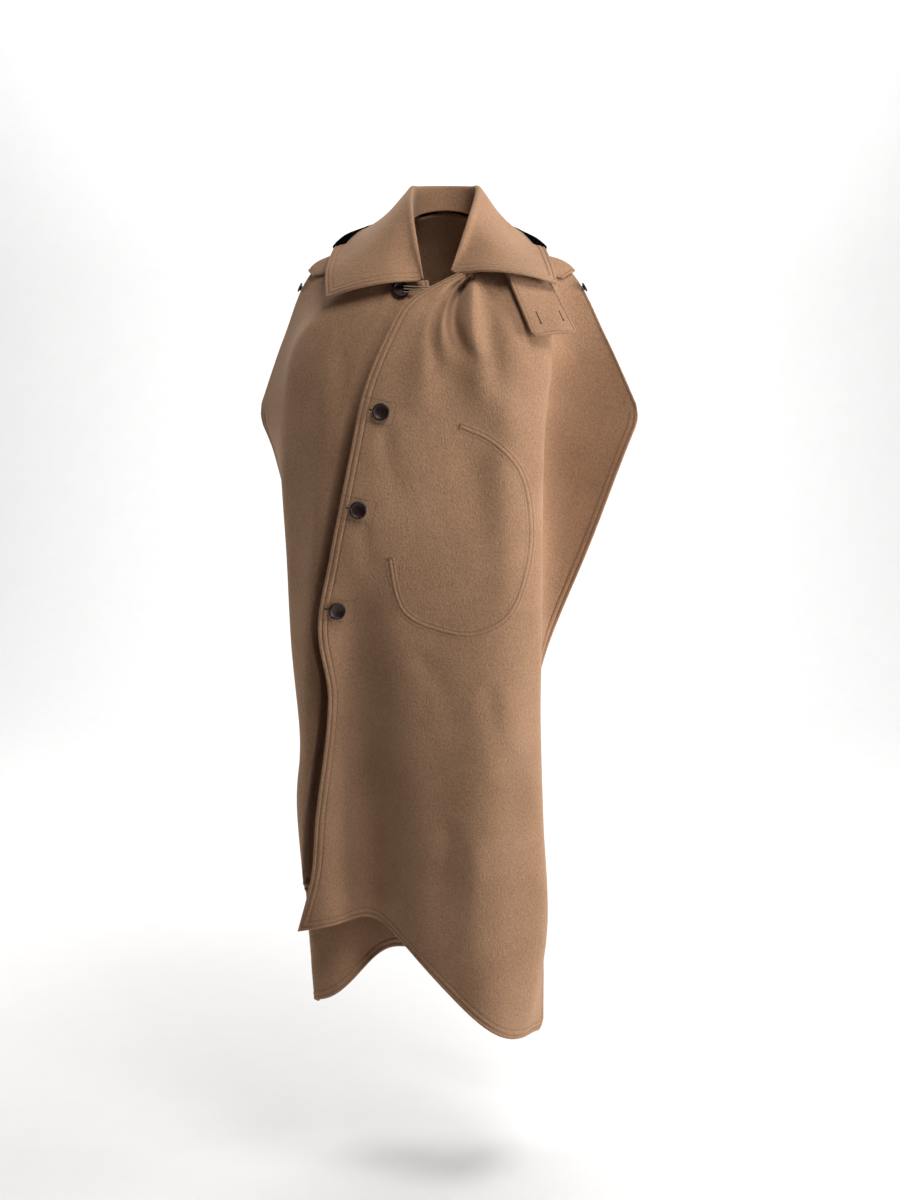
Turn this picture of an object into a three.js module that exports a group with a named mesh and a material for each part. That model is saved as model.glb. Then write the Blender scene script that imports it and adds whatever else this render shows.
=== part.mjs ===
// Wool cape with open sides, worn form: two overlapping fronts, a back, a wide collar with a
// throat tab, shoulder straps, a pocket bag and horn buttons. Millimetres, +Z up, front faces -Y,
// +X is the wearer's left. The origin is the middle of the neck at the height of the shoulders.
import * as THREE from "three";

// Driving sizes
const CLOTH = 3; // heavy felted wool, one layer
const DOUBLE_CLOTH = 4.5; // two layers turned and topstitched: collar, straps and tab
const SEAM_GAP = 0.3;
const UNDER_COLLAR_CLOTH = 1.2;
const POCKET_CLOTH = 1.2;
const FRONT_BUTTON = 26;
const SHOULDER_BUTTON = 15;

// The shoulder seam runs from the neck over the shoulder tip to the wing tip, on each side
const NECK_SIDE_LEFT = [60, 6, -4];
const YOKE_LEFT = [130, 8, -44];
const SHOULDER_TIP_LEFT = [195, 10, -69];
const UPPER_ARM_LEFT = [252, -8, -172];
const WING_TIP_LEFT = [305, -30, -290];
const NECK_SIDE_RIGHT = [-54, 6, -4];
const YOKE_RIGHT = [-130, 8, -41];
const SHOULDER_TIP_RIGHT = [-199, 10, -69];
const UPPER_ARM_RIGHT = [-246, 2, -172];
const WING_TIP_RIGHT = [-287, -10, -290];

// Makes rows of named values out of a line of column names and lists of values.
function table(columns, rows) {
  const names = columns.split(" ");
  return rows.map((row) => Object.fromEntries(names.map((name, i) => [name, row[i]])));
}

// Each section runs from the free front edge, over the fold at the side of the front, to the side
// edge. "down" counts the cloth from the neckline and "cuts" the steps to the next section; the
// front stands out by "bulge" and rises by "lift", and the flap behind the fold falls in by "hollow"
// and back by "cup".
const SECTION = "name down cuts bulge hollow cup lift edge fold side";
const LEFT_FRONT = table(SECTION, [
  ["neck", 0, 5, 0, 0, 0, 0, [29, -95, -76], [66, -60, -40], NECK_SIDE_LEFT],
  ["yoke", 60, 4, 6, 5, 0, 0, [-51, -124, -118], [112, -84, -76], YOKE_LEFT],
  ["shoulder", 110, 4, 18, 22, 8, 0, [-80, -140, -162], [160, -96, -136], SHOULDER_TIP_LEFT],
  ["arm", 200, 4, 22, 46, 24, 0, [-116, -158, -249], [176, -104, -205], UPPER_ARM_LEFT],
  ["wing", 290, 2, 24, 70, 46, 0, [-135, -168, -336], [170, -106, -295], WING_TIP_LEFT],
  ["elbow", 345, 4, 24, 68, 46, 0, [-146, -172, -390], [168, -108, -362], [280, -34, -352]],
  ["waist", 455, 4, 24, 44, 28, 0, [-168, -175, -498], [165, -112, -482], [229, -36, -490]],
  ["hip", 565, 4, 24, 16, 6, 0, [-186, -170, -604], [161, -116, -622], [165, -28, -655]],
  ["thigh", 675, 4, 26, 0, 0, 0, [-172, -166, -713], [154, -120, -745], [142, -14, -765]],
  ["knee", 860, 3, 28, 0, 0, 0, [-194, -152, -900], [161, -128, -915], [142, -8, -930]],
  ["calf", 950, 4, 28, 0, 0, 4, [-202, -152, -990], [165, -132, -1080], [158, -54, -1105]],
  ["hem", 1040, 0, 28, 0, 0, 14, [-224, -152, -1077], [126, -160, -1236], [158, -112, -1250]],
]);
const RIGHT_FRONT = table(SECTION, [
  ["neck", 0, 4, 0, 0, 0, 0, [-22, -82, -88], [-60, -58, -40], NECK_SIDE_RIGHT],
  ["yoke", 60, 3, 8, 4, 0, 0, [-16, -106, -118], [-118, -78, -76], YOKE_RIGHT],
  ["shoulder", 110, 3, 16, 8, 0, 0, [-14, -122, -162], [-178, -88, -128], SHOULDER_TIP_RIGHT],
  ["arm", 200, 3, 24, 6, 0, 0, [-14, -140, -249], [-228, -88, -190], UPPER_ARM_RIGHT],
  ["wing", 290, 2, 26, 4, 0, 0, [-14, -150, -336], [-241, -94, -297], WING_TIP_RIGHT],
  ["elbow", 345, 4, 26, 4, 0, 0, [-14, -154, -390], [-246, -98, -385], [-262, -14, -352]],
  ["waist", 455, 4, 26, 0, 0, 0, [-14, -156, -498], [-242, -100, -500], [-232, -8, -490]],
  ["hip", 565, 4, 26, 0, 0, 0, [-12, -152, -604], [-238, -102, -640], [-212, -8, -650]],
  ["thigh", 675, 4, 26, 0, 0, 0, [-10, -146, -713], [-226, -102, -780], [-200, -8, -780]],
  ["knee", 860, 3, 26, 0, 0, 0, [-8, -130, -900], [-233, -104, -890], [-198, -8, -920]],
  ["calf", 950, 3, 26, 0, 0, -9, [-6, -130, -990], [-222, -104, -1020], [-196, -30, -1070]],
  ["hem", 1040, 0, 26, 0, 0, -34, [-5, -128, -1085], [-206, -108, -1203], [-195, -92, -1214]],
]);

// The back's sections run from the side edge on the wearer's right to the one on the left.
const BACK = table("name down cuts sideRight foldRight centre foldLeft sideLeft", [
  ["neck", 0, 3, NECK_SIDE_RIGHT, [-42, 46, 14], [3, 66, 22], [48, 46, 14], NECK_SIDE_LEFT],
  ["yoke", 60, 3, YOKE_RIGHT, [-105, 62, -30], [3, 106, -25], [108, 62, -30], YOKE_LEFT],
  ["tip", 110, 3, SHOULDER_TIP_RIGHT, [-166, 76, -90], [3, 138, -95], [164, 76, -90], SHOULDER_TIP_LEFT],
  ["arm", 200, 3, UPPER_ARM_RIGHT, [-196, 86, -180], [3, 152, -180], [186, 86, -180], UPPER_ARM_LEFT],
  ["wing", 290, 2, WING_TIP_RIGHT, [-205, 96, -290], [3, 155, -290], [184, 96, -290], WING_TIP_LEFT],
  ["elbow", 345, 3, [-258, 20, -352], [-206, 106, -360], [3, 154, -360], [176, 106, -360], [277, 8, -352]],
  ["waist", 455, 3, [-222, 60, -490], [-206, 120, -490], [3, 150, -490], [168, 120, -490], [222, 60, -490]],
  ["hip", 565, 3, [-200, 78, -650], [-204, 132, -640], [3, 150, -640], [162, 132, -640], [160, 78, -650]],
  ["thigh", 675, 3, [-188, 80, -770], [-202, 140, -770], [3, 154, -770], [160, 140, -770], [142, 80, -770]],
  ["knee", 860, 2, [-186, 84, -920], [-206, 148, -915], [3, 162, -910], [162, 148, -915], [140, 84, -920]],
  ["calf", 950, 3, [-188, 92, -1075], [-208, 152, -1050], [3, 166, -1000],
    [164, 152, -1050], [142, 92, -1075]],
  ["hem", 1040, 0, [-196, 116, -1200], [-206, 152, -1175], [3, 170, -1070],
    [164, 152, -1185], [150, 116, -1212]],
]);

// Soft ridges (depth above 0) and troughs (below 0) that the cloth falls into. Each lies on a line
// in the front view from its top to its foot, bows sideways between them, and swells or fades.
const FOLD = "name topX topZ footX footZ bow widthTop widthFoot depthTop depthFoot";
const NECK_PLEATS = table(FOLD, [
  ["pleat_ridge_edge", 10, -104, -30, -262, -8, 14, 28, 8, 4],
  ["pleat_trough_edge", 23, -92, -12, -206, -13, 9, 16, -15, -3],
  ["pleat_trough_deep", 34, -92, 46, -196, -25, 10, 18, -21, -4],
  ["pleat_ridge_outer", 43, -94, 84, -290, -16, 14, 34, 12, 5],
  ["pleat_trough_outer", 66, -120, 74, -330, 4, 16, 30, -4, -3],
]);
const BREAST_FOLDS = table(FOLD, [
  ["breast_ridge", 96, -150, 108, -760, 6, 58, 52, 16, 12],
]);
const LAP_FOLDS = table(FOLD, [
  ["knee_trough", -134, -520, -104, -1130, 0, 38, 50, -10, -74],
  ["front_ridge", 50, -420, 84, -1260, 0, 70, 76, 6, 34],
]);
const COLUMN_FOLDS = table(FOLD, [
  ["lap_trough", -128, -170, -188, -1010, -8, 18, 15, -14, -50],
  ["column_ridge", -172, -200, -214, -1010, -8, 24, 18, 8, 16],
]);
const BACK_FOLDS = table(FOLD, [
  ["flute_right_outer", -150, -240, -164, -1200, 0, 34, 34, -4, -24],
  ["flute_right", -92, -330, -100, -1170, 0, 34, 40, 3, 18],
  ["flute_middle_trough", -30, -300, -38, -1120, 0, 34, 40, -3, -22],
  ["flute_middle", 34, -360, 36, -1120, 0, 34, 40, 3, 16],
  ["flute_left_trough", 96, -260, 104, -1180, 0, 32, 38, -4, -24],
]);

// Where the pocket bag is sewn through the left front, seen from the front, from the top of its
// mouth round to the foot of its mouth
const POCKET_OUTLINE = table("at x z", [
  [0, 22, -300],
  [0.1, 74, -325],
  [0.2, 116, -371],
  [0.33, 132, -448],
  [0.46, 124, -524],
  [0.57, 96, -585],
  [0.67, 42, -610],
  [0.78, -20, -598],
  [0.85, -55, -578],
  [0.9, -69, -549],
  [1, -79, -491],
]);
const POCKET_CLEAR = 4.2;

// The collar: its seam at the neck, the roll at the top of its stand and its outer edge. The fall
// between roll and edge hangs through by "sag" and stands forward by "bow".
const COLLAR = table("name around seam roll edge sag bow", [
  ["right_end", 0, [-28, -92, -88], [-28, -103, -87], [-174, -102, -114], -13, 20],
  ["right_front", 0.12, [-46, -52, -30], [-44, -54, 10], [-177, -58, -72], 8, 8],
  ["right_side", 0.25, [-47, 4, 10], [-44, 4, 50], [-161, 12, -31], 12, 0],
  ["right_back", 0.37, [-34, 42, 24], [-33, 44, 56], [-118, 78, -8], 6, 0],
  ["centre_back", 0.5, [3, 58, 30], [3, 60, 58], [3, 122, -2], 8, 0],
  ["left_back", 0.63, [40, 42, 24], [39, 44, 56], [116, 78, -8], 6, 0],
  ["left_side", 0.75, [53, 4, 10], [50, 4, 50], [153, 12, -32], 14, 0],
  ["left_front", 0.88, [44, -52, -34], [38, -56, 4], [166, -46, -62], 8, 8],
  ["left_end", 1, [13, -95, -78], [11, -107, -77], [172, -88, -92], -9, 26],
]);
const COLLAR_ROLL = 6; // radius at which the cloth turns over at the roll

// Straps along the shoulder seam: cloth distance of their ends, half width in panel widths, lift
const STRAP_START = 50;
const STRAP_END = 116;
const STRAP_REACH = 0.08;
const STRAP_LIFT = 1.7;
const STRAP_ROUND_FROM = 0.72; // share of its length from which its end is round
const STRAP_NARROW = 0.75;
const STRAP_MIDDLE = 0.03;

// The throat tab hangs from under the left collar point; its top is hidden by the collar
const TAB_CORNERS = table("name x y z", [
  ["top_inner", 94, -102, -76],
  ["top_outer", 161, -62, -84],
  ["foot_outer", 201, -106, -164],
  ["foot_inner", 132, -140, -170],
]);
const TAB_BELLY = 4;

// Buttons: place in the front view, and the front they are sewn to
const FRONT_BUTTONS = table("name x z on", [
  ["button_neck", -63, -104, "right"],
  ["button_upper", -90, -281, "left"],
  ["button_middle", -124, -424, "left"],
  ["button_lower", -158, -575, "left"],
]);
const FRONT_SHANK = 2;
const SHOULDER_SHANK = 3;
const SHOULDER_BUTTON_AT = 138; // cloth distance from the neck along the seam
const SEAM_STEP = 5; // cloth distance over which the seam's run is read there
const SHANK_RADIUS = 3;
const BUTTON_CLEAR = 0.5;
const BUTTON_SIDES = 16;
const BUTTON_PROFILE = table("radius height", [
  [0.7, 0],
  [1, 0.16],
  [1, 0.26],
  [0.88, 0.36],
  [0.7, 0.28],
  [0.4, 0.18],
  [0, 0.14],
]);

const WOOL = { color: 0x9c7650, roughness: 0.95, metalness: 0 };
const FELT = { color: 0x0b0a0a, roughness: 0.95, metalness: 0 };
const HORN = { color: 0x2a1614, roughness: 0.35, metalness: 0 };

const vector = (list) => new THREE.Vector3(...list);

// Smooth value of a column between a table's rows: cubic pieces with averaged slopes.
function between(rows, place, column, at) {
  const last = rows.length - 1;
  let i = 0;
  while (i < last - 1 && rows[i + 1][place] <= at) i += 1;
  const slope = (k) => {
    const before = rows[Math.max(k - 1, 0)];
    const after = rows[Math.min(k + 1, last)];
    return value(after, column).sub(value(before, column)).divideScalar(after[place] - before[place]);
  };
  const span = rows[i + 1][place] - rows[i][place];
  const t = Math.min(Math.max((at - rows[i][place]) / span, 0), 1);
  const ease = t * t * (3 - 2 * t);
  return value(rows[i], column)
    .multiplyScalar(1 - ease)
    .addScaledVector(value(rows[i + 1], column), ease)
    .addScaledVector(slope(i), span * t * (1 - t) * (1 - t))
    .addScaledVector(slope(i + 1), span * t * t * (t - 1));
}

// A table's value as a vector: a point as it is, a number as its x.
function value(row, column) {
  return Array.isArray(row[column]) ? vector(row[column]) : new THREE.Vector3(row[column], 0, 0);
}

// 0 below low, 1 above high, smooth in between
const step = (low, high, x) => THREE.MathUtils.smoothstep(x, low, high);

// Shares of a fold's length over which it swells at its top and fades past its foot
const FOLD_SWELL = [-0.08, 0.1];
const FOLD_FADE = [1, 1.2];

// How far the folds push the cloth out at a place in the front view.
function push(folds, x, z) {
  return folds.reduce((sum, fold) => {
    const runX = fold.footX - fold.topX;
    const runZ = fold.footZ - fold.topZ;
    const length = Math.hypot(runX, runZ);
    const along = ((x - fold.topX) * runX + (z - fold.topZ) * runZ) / length ** 2;
    const share = Math.min(Math.max(along, 0), 1);
    const off = ((x - fold.topX) * -runZ + (z - fold.topZ) * runX) / length;
    const bowed = off - fold.bow * 4 * share * (1 - share);
    const width = fold.widthTop + (fold.widthFoot - fold.widthTop) * share;
    const depth = fold.depthTop + (fold.depthFoot - fold.depthTop) * share;
    const ends = step(...FOLD_SWELL, along) * (1 - step(...FOLD_FADE, along));
    return sum + depth * ends * Math.exp(-((bowed / width) ** 2));
  }, 0);
}

// The share of the two legs of a section that meet in a soft bend: a along the front, b along the flap.
const FOLD_AT = 0.74;
const BEND = 0.024;
function legs(across) {
  const ramp = (u) => BEND * Math.log1p(Math.exp((u - FOLD_AT) / BEND));
  const whole = ramp(1) - ramp(0);
  const past = ramp(across) - ramp(0);
  return [(across - past) / (1 - whole), past / whole];
}

// The side of a panel: the seam to the wing tip, then the free edge, with a corner between them.
function sideLine(sections, column, down) {
  const tip = sections.findIndex((row) => row.name === "wing");
  const part = down <= sections[tip].down ? sections.slice(0, tip + 1) : sections.slice(tip);
  return between(part, "down", column, down);
}

const LIFT_SCALE = 6.75; // makes the top of the lift's arch 1
const HEM_FLAT = 0.25; // share of the front from which its sections fall towards the fold

// How much the cloth is cut back at the outer corner of a front's hem, which is round.
const CORNER_FROM = 0.93;
const CORNER_ROUND = 10;
const CORNER_TOP = 880;
const HEM_DOWN = 1040;
function cornerTrim(across, down) {
  const share = Math.max(across - CORNER_FROM, 0) / (1 - CORNER_FROM);
  return CORNER_ROUND * share ** 2 * step(CORNER_TOP, HEM_DOWN, down);
}

// Outer face of a front: across from its free edge (0) to its side (1), down in cloth from the neck.
function frontPoint(sections, folds, across, level) {
  const [a, b] = legs(across);
  const down = level - cornerTrim(across, level);
  const edge = between(sections, "down", "edge", down);
  const fold = between(sections, "down", "fold", down);
  const side = sideLine(sections, "side", down);
  const bulge = between(sections, "down", "bulge", down).x;
  const hollow = between(sections, "down", "hollow", down).x * 4 * b * (1 - b);
  const lift = between(sections, "down", "lift", down).x * LIFT_SCALE * a * (1 - a) ** 2;
  const cup = between(sections, "down", "cup", down).x * 4 * b * (1 - b);
  const point = new THREE.Vector3(
    edge.x + (fold.x - edge.x) * a + (side.x - fold.x) * b - Math.sign(side.x) * hollow,
    edge.y + (fold.y - edge.y) * a + (side.y - fold.y) * b - bulge * 4 * a * (1 - a) + cup,
    edge.z + (fold.z - edge.z) * step(HEM_FLAT, 1, a) + (side.z - fold.z) * b + lift,
  );
  point.y -= push(folds, point.x, point.z) * (1 - b) ** 2;
  return point;
}

const BACK_ROUND = 2.2; // how late the back turns forward from its centre

// Outer face of the back: across from the wearer's right (0) to the left (1).
function backPoint(across, down) {
  const left = across > 0.5;
  const [a, b] = legs(Math.abs(2 * across - 1));
  const centre = between(BACK, "down", "centre", down);
  const fold = between(BACK, "down", left ? "foldLeft" : "foldRight", down);
  const side = sideLine(BACK, left ? "sideLeft" : "sideRight", down);
  const point = new THREE.Vector3(
    centre.x + (fold.x - centre.x) * a + (side.x - fold.x) * b,
    centre.y + (fold.y - centre.y) * a ** BACK_ROUND + (side.y - fold.y) * b,
    centre.z + (fold.z - centre.z) * step(0, 1, a) + (side.z - fold.z) * b,
  );
  point.y += push(BACK_FOLDS, point.x, point.z) * (1 - b) ** 2;
  return point;
}

// Unit normal of a surface, by small steps; side is 1 or -1 so that it points out of the cape.
function normalOf(surface, u, v, side, stepU, stepV) {
  const { clamp } = THREE.MathUtils;
  const du = surface(clamp(u + stepU, 0, 1), v).sub(surface(clamp(u - stepU, 0, 1), v));
  const dv = surface(u, clamp(v + stepV, 0, 1)).sub(surface(u, clamp(v - stepV, 0, 1)));
  return dv.cross(du).normalize().multiplyScalar(side);
}

// Closed wall between two grids of points, outer and inner, each a list of rows.
function wallGeometry(outer, inner) {
  const rows = outer.length;
  const columns = outer[0].length;
  const points = [...outer.flat(), ...inner.flat()];
  const at = (layer, r, c) => layer * rows * columns + r * columns + c;
  const quads = [];
  for (let r = 0; r + 1 < rows; r += 1) {
    for (let c = 0; c + 1 < columns; c += 1) {
      quads.push([at(0, r, c), at(0, r + 1, c), at(0, r + 1, c + 1), at(0, r, c + 1)]);
      quads.push([at(1, r, c), at(1, r, c + 1), at(1, r + 1, c + 1), at(1, r + 1, c)]);
    }
    quads.push([at(0, r, 0), at(1, r, 0), at(1, r + 1, 0), at(0, r + 1, 0)]);
    const end = columns - 1;
    quads.push([at(0, r + 1, end), at(1, r + 1, end), at(1, r, end), at(0, r, end)]);
  }
  for (let c = 0; c + 1 < columns; c += 1) {
    quads.push([at(0, 0, c + 1), at(1, 0, c + 1), at(1, 0, c), at(0, 0, c)]);
    const end = rows - 1;
    quads.push([at(0, end, c), at(1, end, c), at(1, end, c + 1), at(0, end, c + 1)]);
  }
  return facingOut(points, quads.flatMap(([i, j, k, l]) => [[i, j, k], [i, k, l]]));
}

// Indexed geometry with its triangles turned so that the volume is positive.
function facingOut(points, triangles) {
  const volume = triangles.reduce(
    (sum, [i, j, k]) => sum + points[i].dot(points[j].clone().cross(points[k])), 0);
  const index = triangles.flatMap(([i, j, k]) => (volume < 0 ? [i, k, j] : [i, j, k]));
  const geometry = new THREE.BufferGeometry();
  const numbers = points.flatMap((point) => point.toArray());
  geometry.setAttribute("position", new THREE.Float32BufferAttribute(numbers, 3));
  geometry.setIndex(index);
  geometry.computeVertexNormals();
  return geometry;
}

// Places down the cloth where a panel's rows lie: each section's cuts in even steps.
function downs(sections) {
  return sections.flatMap((row, i) => Array.from({ length: row.cuts }, (_, k) =>
    row.down + ((sections[i + 1].down - row.down) * k) / row.cuts)).concat(sections.at(-1).down);
}

// Evenly spaced places from first to last.
const spread = (first, last, steps) =>
  Array.from({ length: steps + 1 }, (_, k) => first + ((last - first) * k) / steps);

// The way from the front to the back across a seam: along Y, but leaning out over the left arm,
// where both panels fall behind the seam.
const SEAM_LEAN = 0.5;
const LEAN_FROM = 130;
const LEAN_TO = 290;
function seamWay(x, down) {
  const lean = x > 0 ? SEAM_LEAN * step(LEAN_FROM, LEAN_TO, down) : 0;
  return new THREE.Vector3(lean, Math.sqrt(1 - lean ** 2), 0);
}

// A panel's wall. Down to the wing tips its seam sides are cut square to that way, so they abut.
function panel(cloth, acrosses, seams) {
  const wing = cloth.sections.find((row) => row.name === "wing").down;
  const outer = [];
  const inner = [];
  for (const down of downs(cloth.sections)) {
    const rowOut = [];
    const rowIn = [];
    for (const across of acrosses) {
      const point = cloth.surface(across, down);
      const normal = outward(cloth, across, down);
      if (seams.includes(across) && down <= wing) {
        const way = seamWay(point.x, down);
        point.addScaledVector(way, (cloth.faces * SEAM_GAP) / 2);
        normal.addScaledVector(way, -normal.dot(way));
        normal.divideScalar(Math.max(normal.lengthSq(), SQUARE_LIMIT));
      }
      rowOut.push(point);
      rowIn.push(point.clone().addScaledVector(normal, -CLOTH));
    }
    outer.push(rowOut);
    inner.push(rowIn);
  }
  return wallGeometry(outer, inner);
}
const SQUARE_LIMIT = 0.4; // keeps a seam's square cut from reaching too far where the cloth faces front

const LEFT_FOLDS = [...NECK_PLEATS, ...BREAST_FOLDS, ...LAP_FOLDS];
const RIGHT_FOLDS = [...LAP_FOLDS, ...COLUMN_FOLDS];

// The three panels of cloth: outer face, its sections, and the way they face along Y
const leftFront = {
  surface: (across, down) => frontPoint(LEFT_FRONT, LEFT_FOLDS, across, down),
  sections: LEFT_FRONT,
  turn: 1,
  faces: -1,
};
const rightFront = {
  surface: (across, down) => frontPoint(RIGHT_FRONT, RIGHT_FOLDS, across, down),
  sections: RIGHT_FRONT,
  turn: -1,
  faces: -1,
};
const back = { surface: backPoint, sections: BACK, turn: -1, faces: 1 };

// Outward normal of a panel at a place on it.
function outward(cloth, across, down) {
  const full = cloth.sections.at(-1).down;
  const unit = (u, v) => cloth.surface(u, v * full);
  return normalOf(unit, across, down / full, cloth.turn, NORMAL_STEP, NORMAL_STEP / 2);
}
const NORMAL_STEP = 0.004;

// Finds the place on a front that is seen at x, z from the front, by repeated corrections.
const SEARCH = { turns: 30, share: 0.7, stepAcross: 0.01, stepDown: 4, across: 0.4, drop: 80 };
const SEARCH_ACROSS = [0.01, 0.98];
const SEARCH_DOWN = [1, HEM_DOWN - 5];
function placeAt(cloth, x, z) {
  const { clamp } = THREE.MathUtils;
  let across = SEARCH.across;
  let down = clamp(-z - SEARCH.drop, ...SEARCH_DOWN);
  for (let turn = 0; turn < SEARCH.turns; turn += 1) {
    const here = cloth.surface(across, down);
    const byU = cloth.surface(across + SEARCH.stepAcross, down).sub(here).divideScalar(SEARCH.stepAcross);
    const byD = cloth.surface(across, down + SEARCH.stepDown).sub(here).divideScalar(SEARCH.stepDown);
    const area = byU.x * byD.z - byU.z * byD.x;
    const missX = x - here.x;
    const missZ = z - here.z;
    across += (SEARCH.share * (missX * byD.z - missZ * byD.x)) / area;
    down += (SEARCH.share * (byU.x * missZ - byU.z * missX)) / area;
    across = clamp(across, ...SEARCH_ACROSS);
    down = clamp(down, ...SEARCH_DOWN);
  }
  return [across, down];
}

// Profile of the collar at a place around the neck: up the stand, over the roll, down the fall.
const ROLL_AT = 0.24; // shares of the way from the seam to the edge
const CREST_AT = 0.32;
const OVER_AT = 0.4;
const CREST_RISE = 0.6; // in roll radii
const OVER_DROP = 0.8;
const OVER_GAP = 2;
const STAND_SHARE = 0.25; // the roll is never wider than this share of the stand
const FALL_STATIONS = [0.25, 0.5, 0.75];
function collarPoint(around, along) {
  const [seam, roll, edge] = ["seam", "roll", "edge"].map((column) =>
    between(COLLAR, "around", column, around));
  const sag = between(COLLAR, "around", "sag", around).x;
  const bow = between(COLLAR, "around", "bow", around).x;
  const out = edge.clone().sub(roll).setZ(0).normalize();
  const radius = Math.min(COLLAR_ROLL, STAND_SHARE * seam.distanceTo(roll));
  const crest = roll.clone().addScaledVector(out, radius).setZ(roll.z + radius * CREST_RISE);
  const over = roll.clone().addScaledVector(out, 2 * radius + OVER_GAP).setZ(roll.z - radius * OVER_DROP);
  const fall = FALL_STATIONS.map((k) => {
    const point = over.clone().lerp(edge, k);
    point.z -= sag * 4 * k * (1 - k);
    point.y -= bow * 4 * k * (1 - k);
    return { at: OVER_AT + (1 - OVER_AT) * k, point: point.toArray() };
  });
  const profile = [
    { at: 0, point: seam.toArray() },
    { at: ROLL_AT, point: roll.toArray() },
    { at: CREST_AT, point: crest.toArray() },
    { at: OVER_AT, point: over.toArray() },
    ...fall,
    { at: 1, point: edge.toArray() },
  ];
  return between(profile, "at", "point", along);
}

const COLLAR_STEP = 0.01;

// A layer of the collar's cloth between two depths under its outer face.
function collarLayer(arounds, alongs, near, far) {
  const layer = (depth) => arounds.map((around) => alongs.map((along) => {
    const normal = normalOf(collarPoint, around, along, -1, COLLAR_STEP, COLLAR_STEP);
    return collarPoint(around, along).addScaledVector(normal, -depth);
  }));
  return wallGeometry(layer(near), layer(far));
}

const STRAP_STEPS = { along: 7, across: 6 };

// Strap over the shoulder seam, made from the points of the front and the back, moved out.
function strap(front, backSide) {
  const rows = spread(0, 1, STRAP_STEPS.along).map((k) => {
    const down = STRAP_START + (STRAP_END - STRAP_START) * k;
    const half = STRAP_REACH * Math.sqrt(1 - STRAP_NARROW * step(STRAP_ROUND_FROM, 1, k));
    const normalFront = outward(front, 1 - STRAP_MIDDLE, down);
    const normalBack = outward(back, backSide(1 - STRAP_MIDDLE / 2), down);
    return spread(-1, 1, STRAP_STEPS.across).map((m) => {
      const reach = Math.abs(m) * half;
      const base = m < 0 ? front.surface(1 - reach, down) : back.surface(backSide(1 - reach / 2), down);
      const normal = normalFront.clone().lerp(normalBack, (m + 1) / 2).normalize();
      return [base, normal];
    });
  });
  const layer = (lift) => rows.map((row) => row.map(([base, normal]) =>
    base.clone().addScaledVector(normal, lift)));
  return wallGeometry(layer(STRAP_LIFT + DOUBLE_CLOTH), layer(STRAP_LIFT));
}

const TAB_STEPS = { along: 6, across: 5 };

// Flat piece between four corners, bellied out a little, as thick as two layers.
function tabGeometry() {
  const [topInner, topOuter, footOuter, footInner] = TAB_CORNERS.map((row) =>
    new THREE.Vector3(row.x, row.y, row.z));
  const across = spread(0, 1, TAB_STEPS.across);
  const grid = (depth) => spread(0, 1, TAB_STEPS.along).map((v) => across.map((u) => {
    const point = topInner.clone().lerp(topOuter, u).lerp(footInner.clone().lerp(footOuter, u), v);
    point.y += depth - TAB_BELLY * 4 * u * (1 - u);
    return point;
  }));
  return wallGeometry(grid(0), grid(DOUBLE_CLOTH));
}

const POCKET_MOUTH = [0.04, 0.96]; // shares of the outline between which the bag lies
const POCKET_STEPS = { along: 10, across: 6 };

// Pocket bag inside the left front: from the mouth to the sewn outline, moved in from the cloth.
function pocketGeometry() {
  const outline = POCKET_OUTLINE.map((row) => ({ at: row.at, point: [row.x, 0, row.z] }));
  const mouthTop = new THREE.Vector3(POCKET_OUTLINE[0].x, 0, POCKET_OUTLINE[0].z);
  const mouthFoot = new THREE.Vector3(POCKET_OUTLINE.at(-1).x, 0, POCKET_OUTLINE.at(-1).z);
  const shares = spread(0, 1, POCKET_STEPS.across);
  const places = spread(...POCKET_MOUTH, POCKET_STEPS.along).map((k) => shares.map((v) => {
    const seen = mouthTop.clone().lerp(mouthFoot, k).lerp(between(outline, "at", "point", k), v);
    return placeAt(leftFront, seen.x, seen.z);
  }));
  const layer = (depth) => places.map((row) => row.map(([across, down]) =>
    leftFront.surface(across, down).addScaledVector(outward(leftFront, across, down), -depth)));
  return wallGeometry(layer(CLOTH + POCKET_CLEAR), layer(CLOTH + POCKET_CLEAR + POCKET_CLOTH));
}

// Dished horn button turned about its axis, with its sewn shank, set on a point along a normal.
function buttonGeometry(diameter, shank, point, normal) {
  const r = diameter / 2;
  const profile = BUTTON_PROFILE.map((row) => new THREE.Vector2(row.radius * r, shank + row.height * r));
  const foot = [new THREE.Vector2(0, 0), new THREE.Vector2(SHANK_RADIUS, 0),
    new THREE.Vector2(SHANK_RADIUS, shank)];
  const geometry = new THREE.LatheGeometry([...foot, ...profile], BUTTON_SIDES);
  const turn = new THREE.Quaternion().setFromUnitVectors(new THREE.Vector3(0, 1, 0), normal);
  geometry.applyQuaternion(turn);
  geometry.translate(...point.clone().addScaledVector(normal, BUTTON_CLEAR).toArray());
  return closed(geometry);
}

const JOIN_SCALE = 1000; // points closer than a thousandth of a millimetre are one

// The same surface with its doubled points joined and its faces turned out.
function closed(geometry) {
  const position = geometry.getAttribute("position");
  const points = [];
  const places = new Map();
  const joined = Array.from({ length: position.count }, (_, i) => {
    const point = new THREE.Vector3().fromBufferAttribute(position, i);
    const key = point.toArray().map((x) => Math.round(x * JOIN_SCALE)).join();
    if (!places.has(key)) {
      places.set(key, points.length);
      points.push(point);
    }
    return places.get(key);
  });
  const index = Array.from(geometry.index.array, (i) => joined[i]);
  const triangles = [];
  for (let i = 0; i < index.length; i += 3) {
    const corners = index.slice(i, i + 3);
    if (new Set(corners).size === 3) triangles.push(corners);
  }
  return facingOut(points, triangles);
}

const cape = new THREE.Group();
cape.name = "wool_cape";

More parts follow.
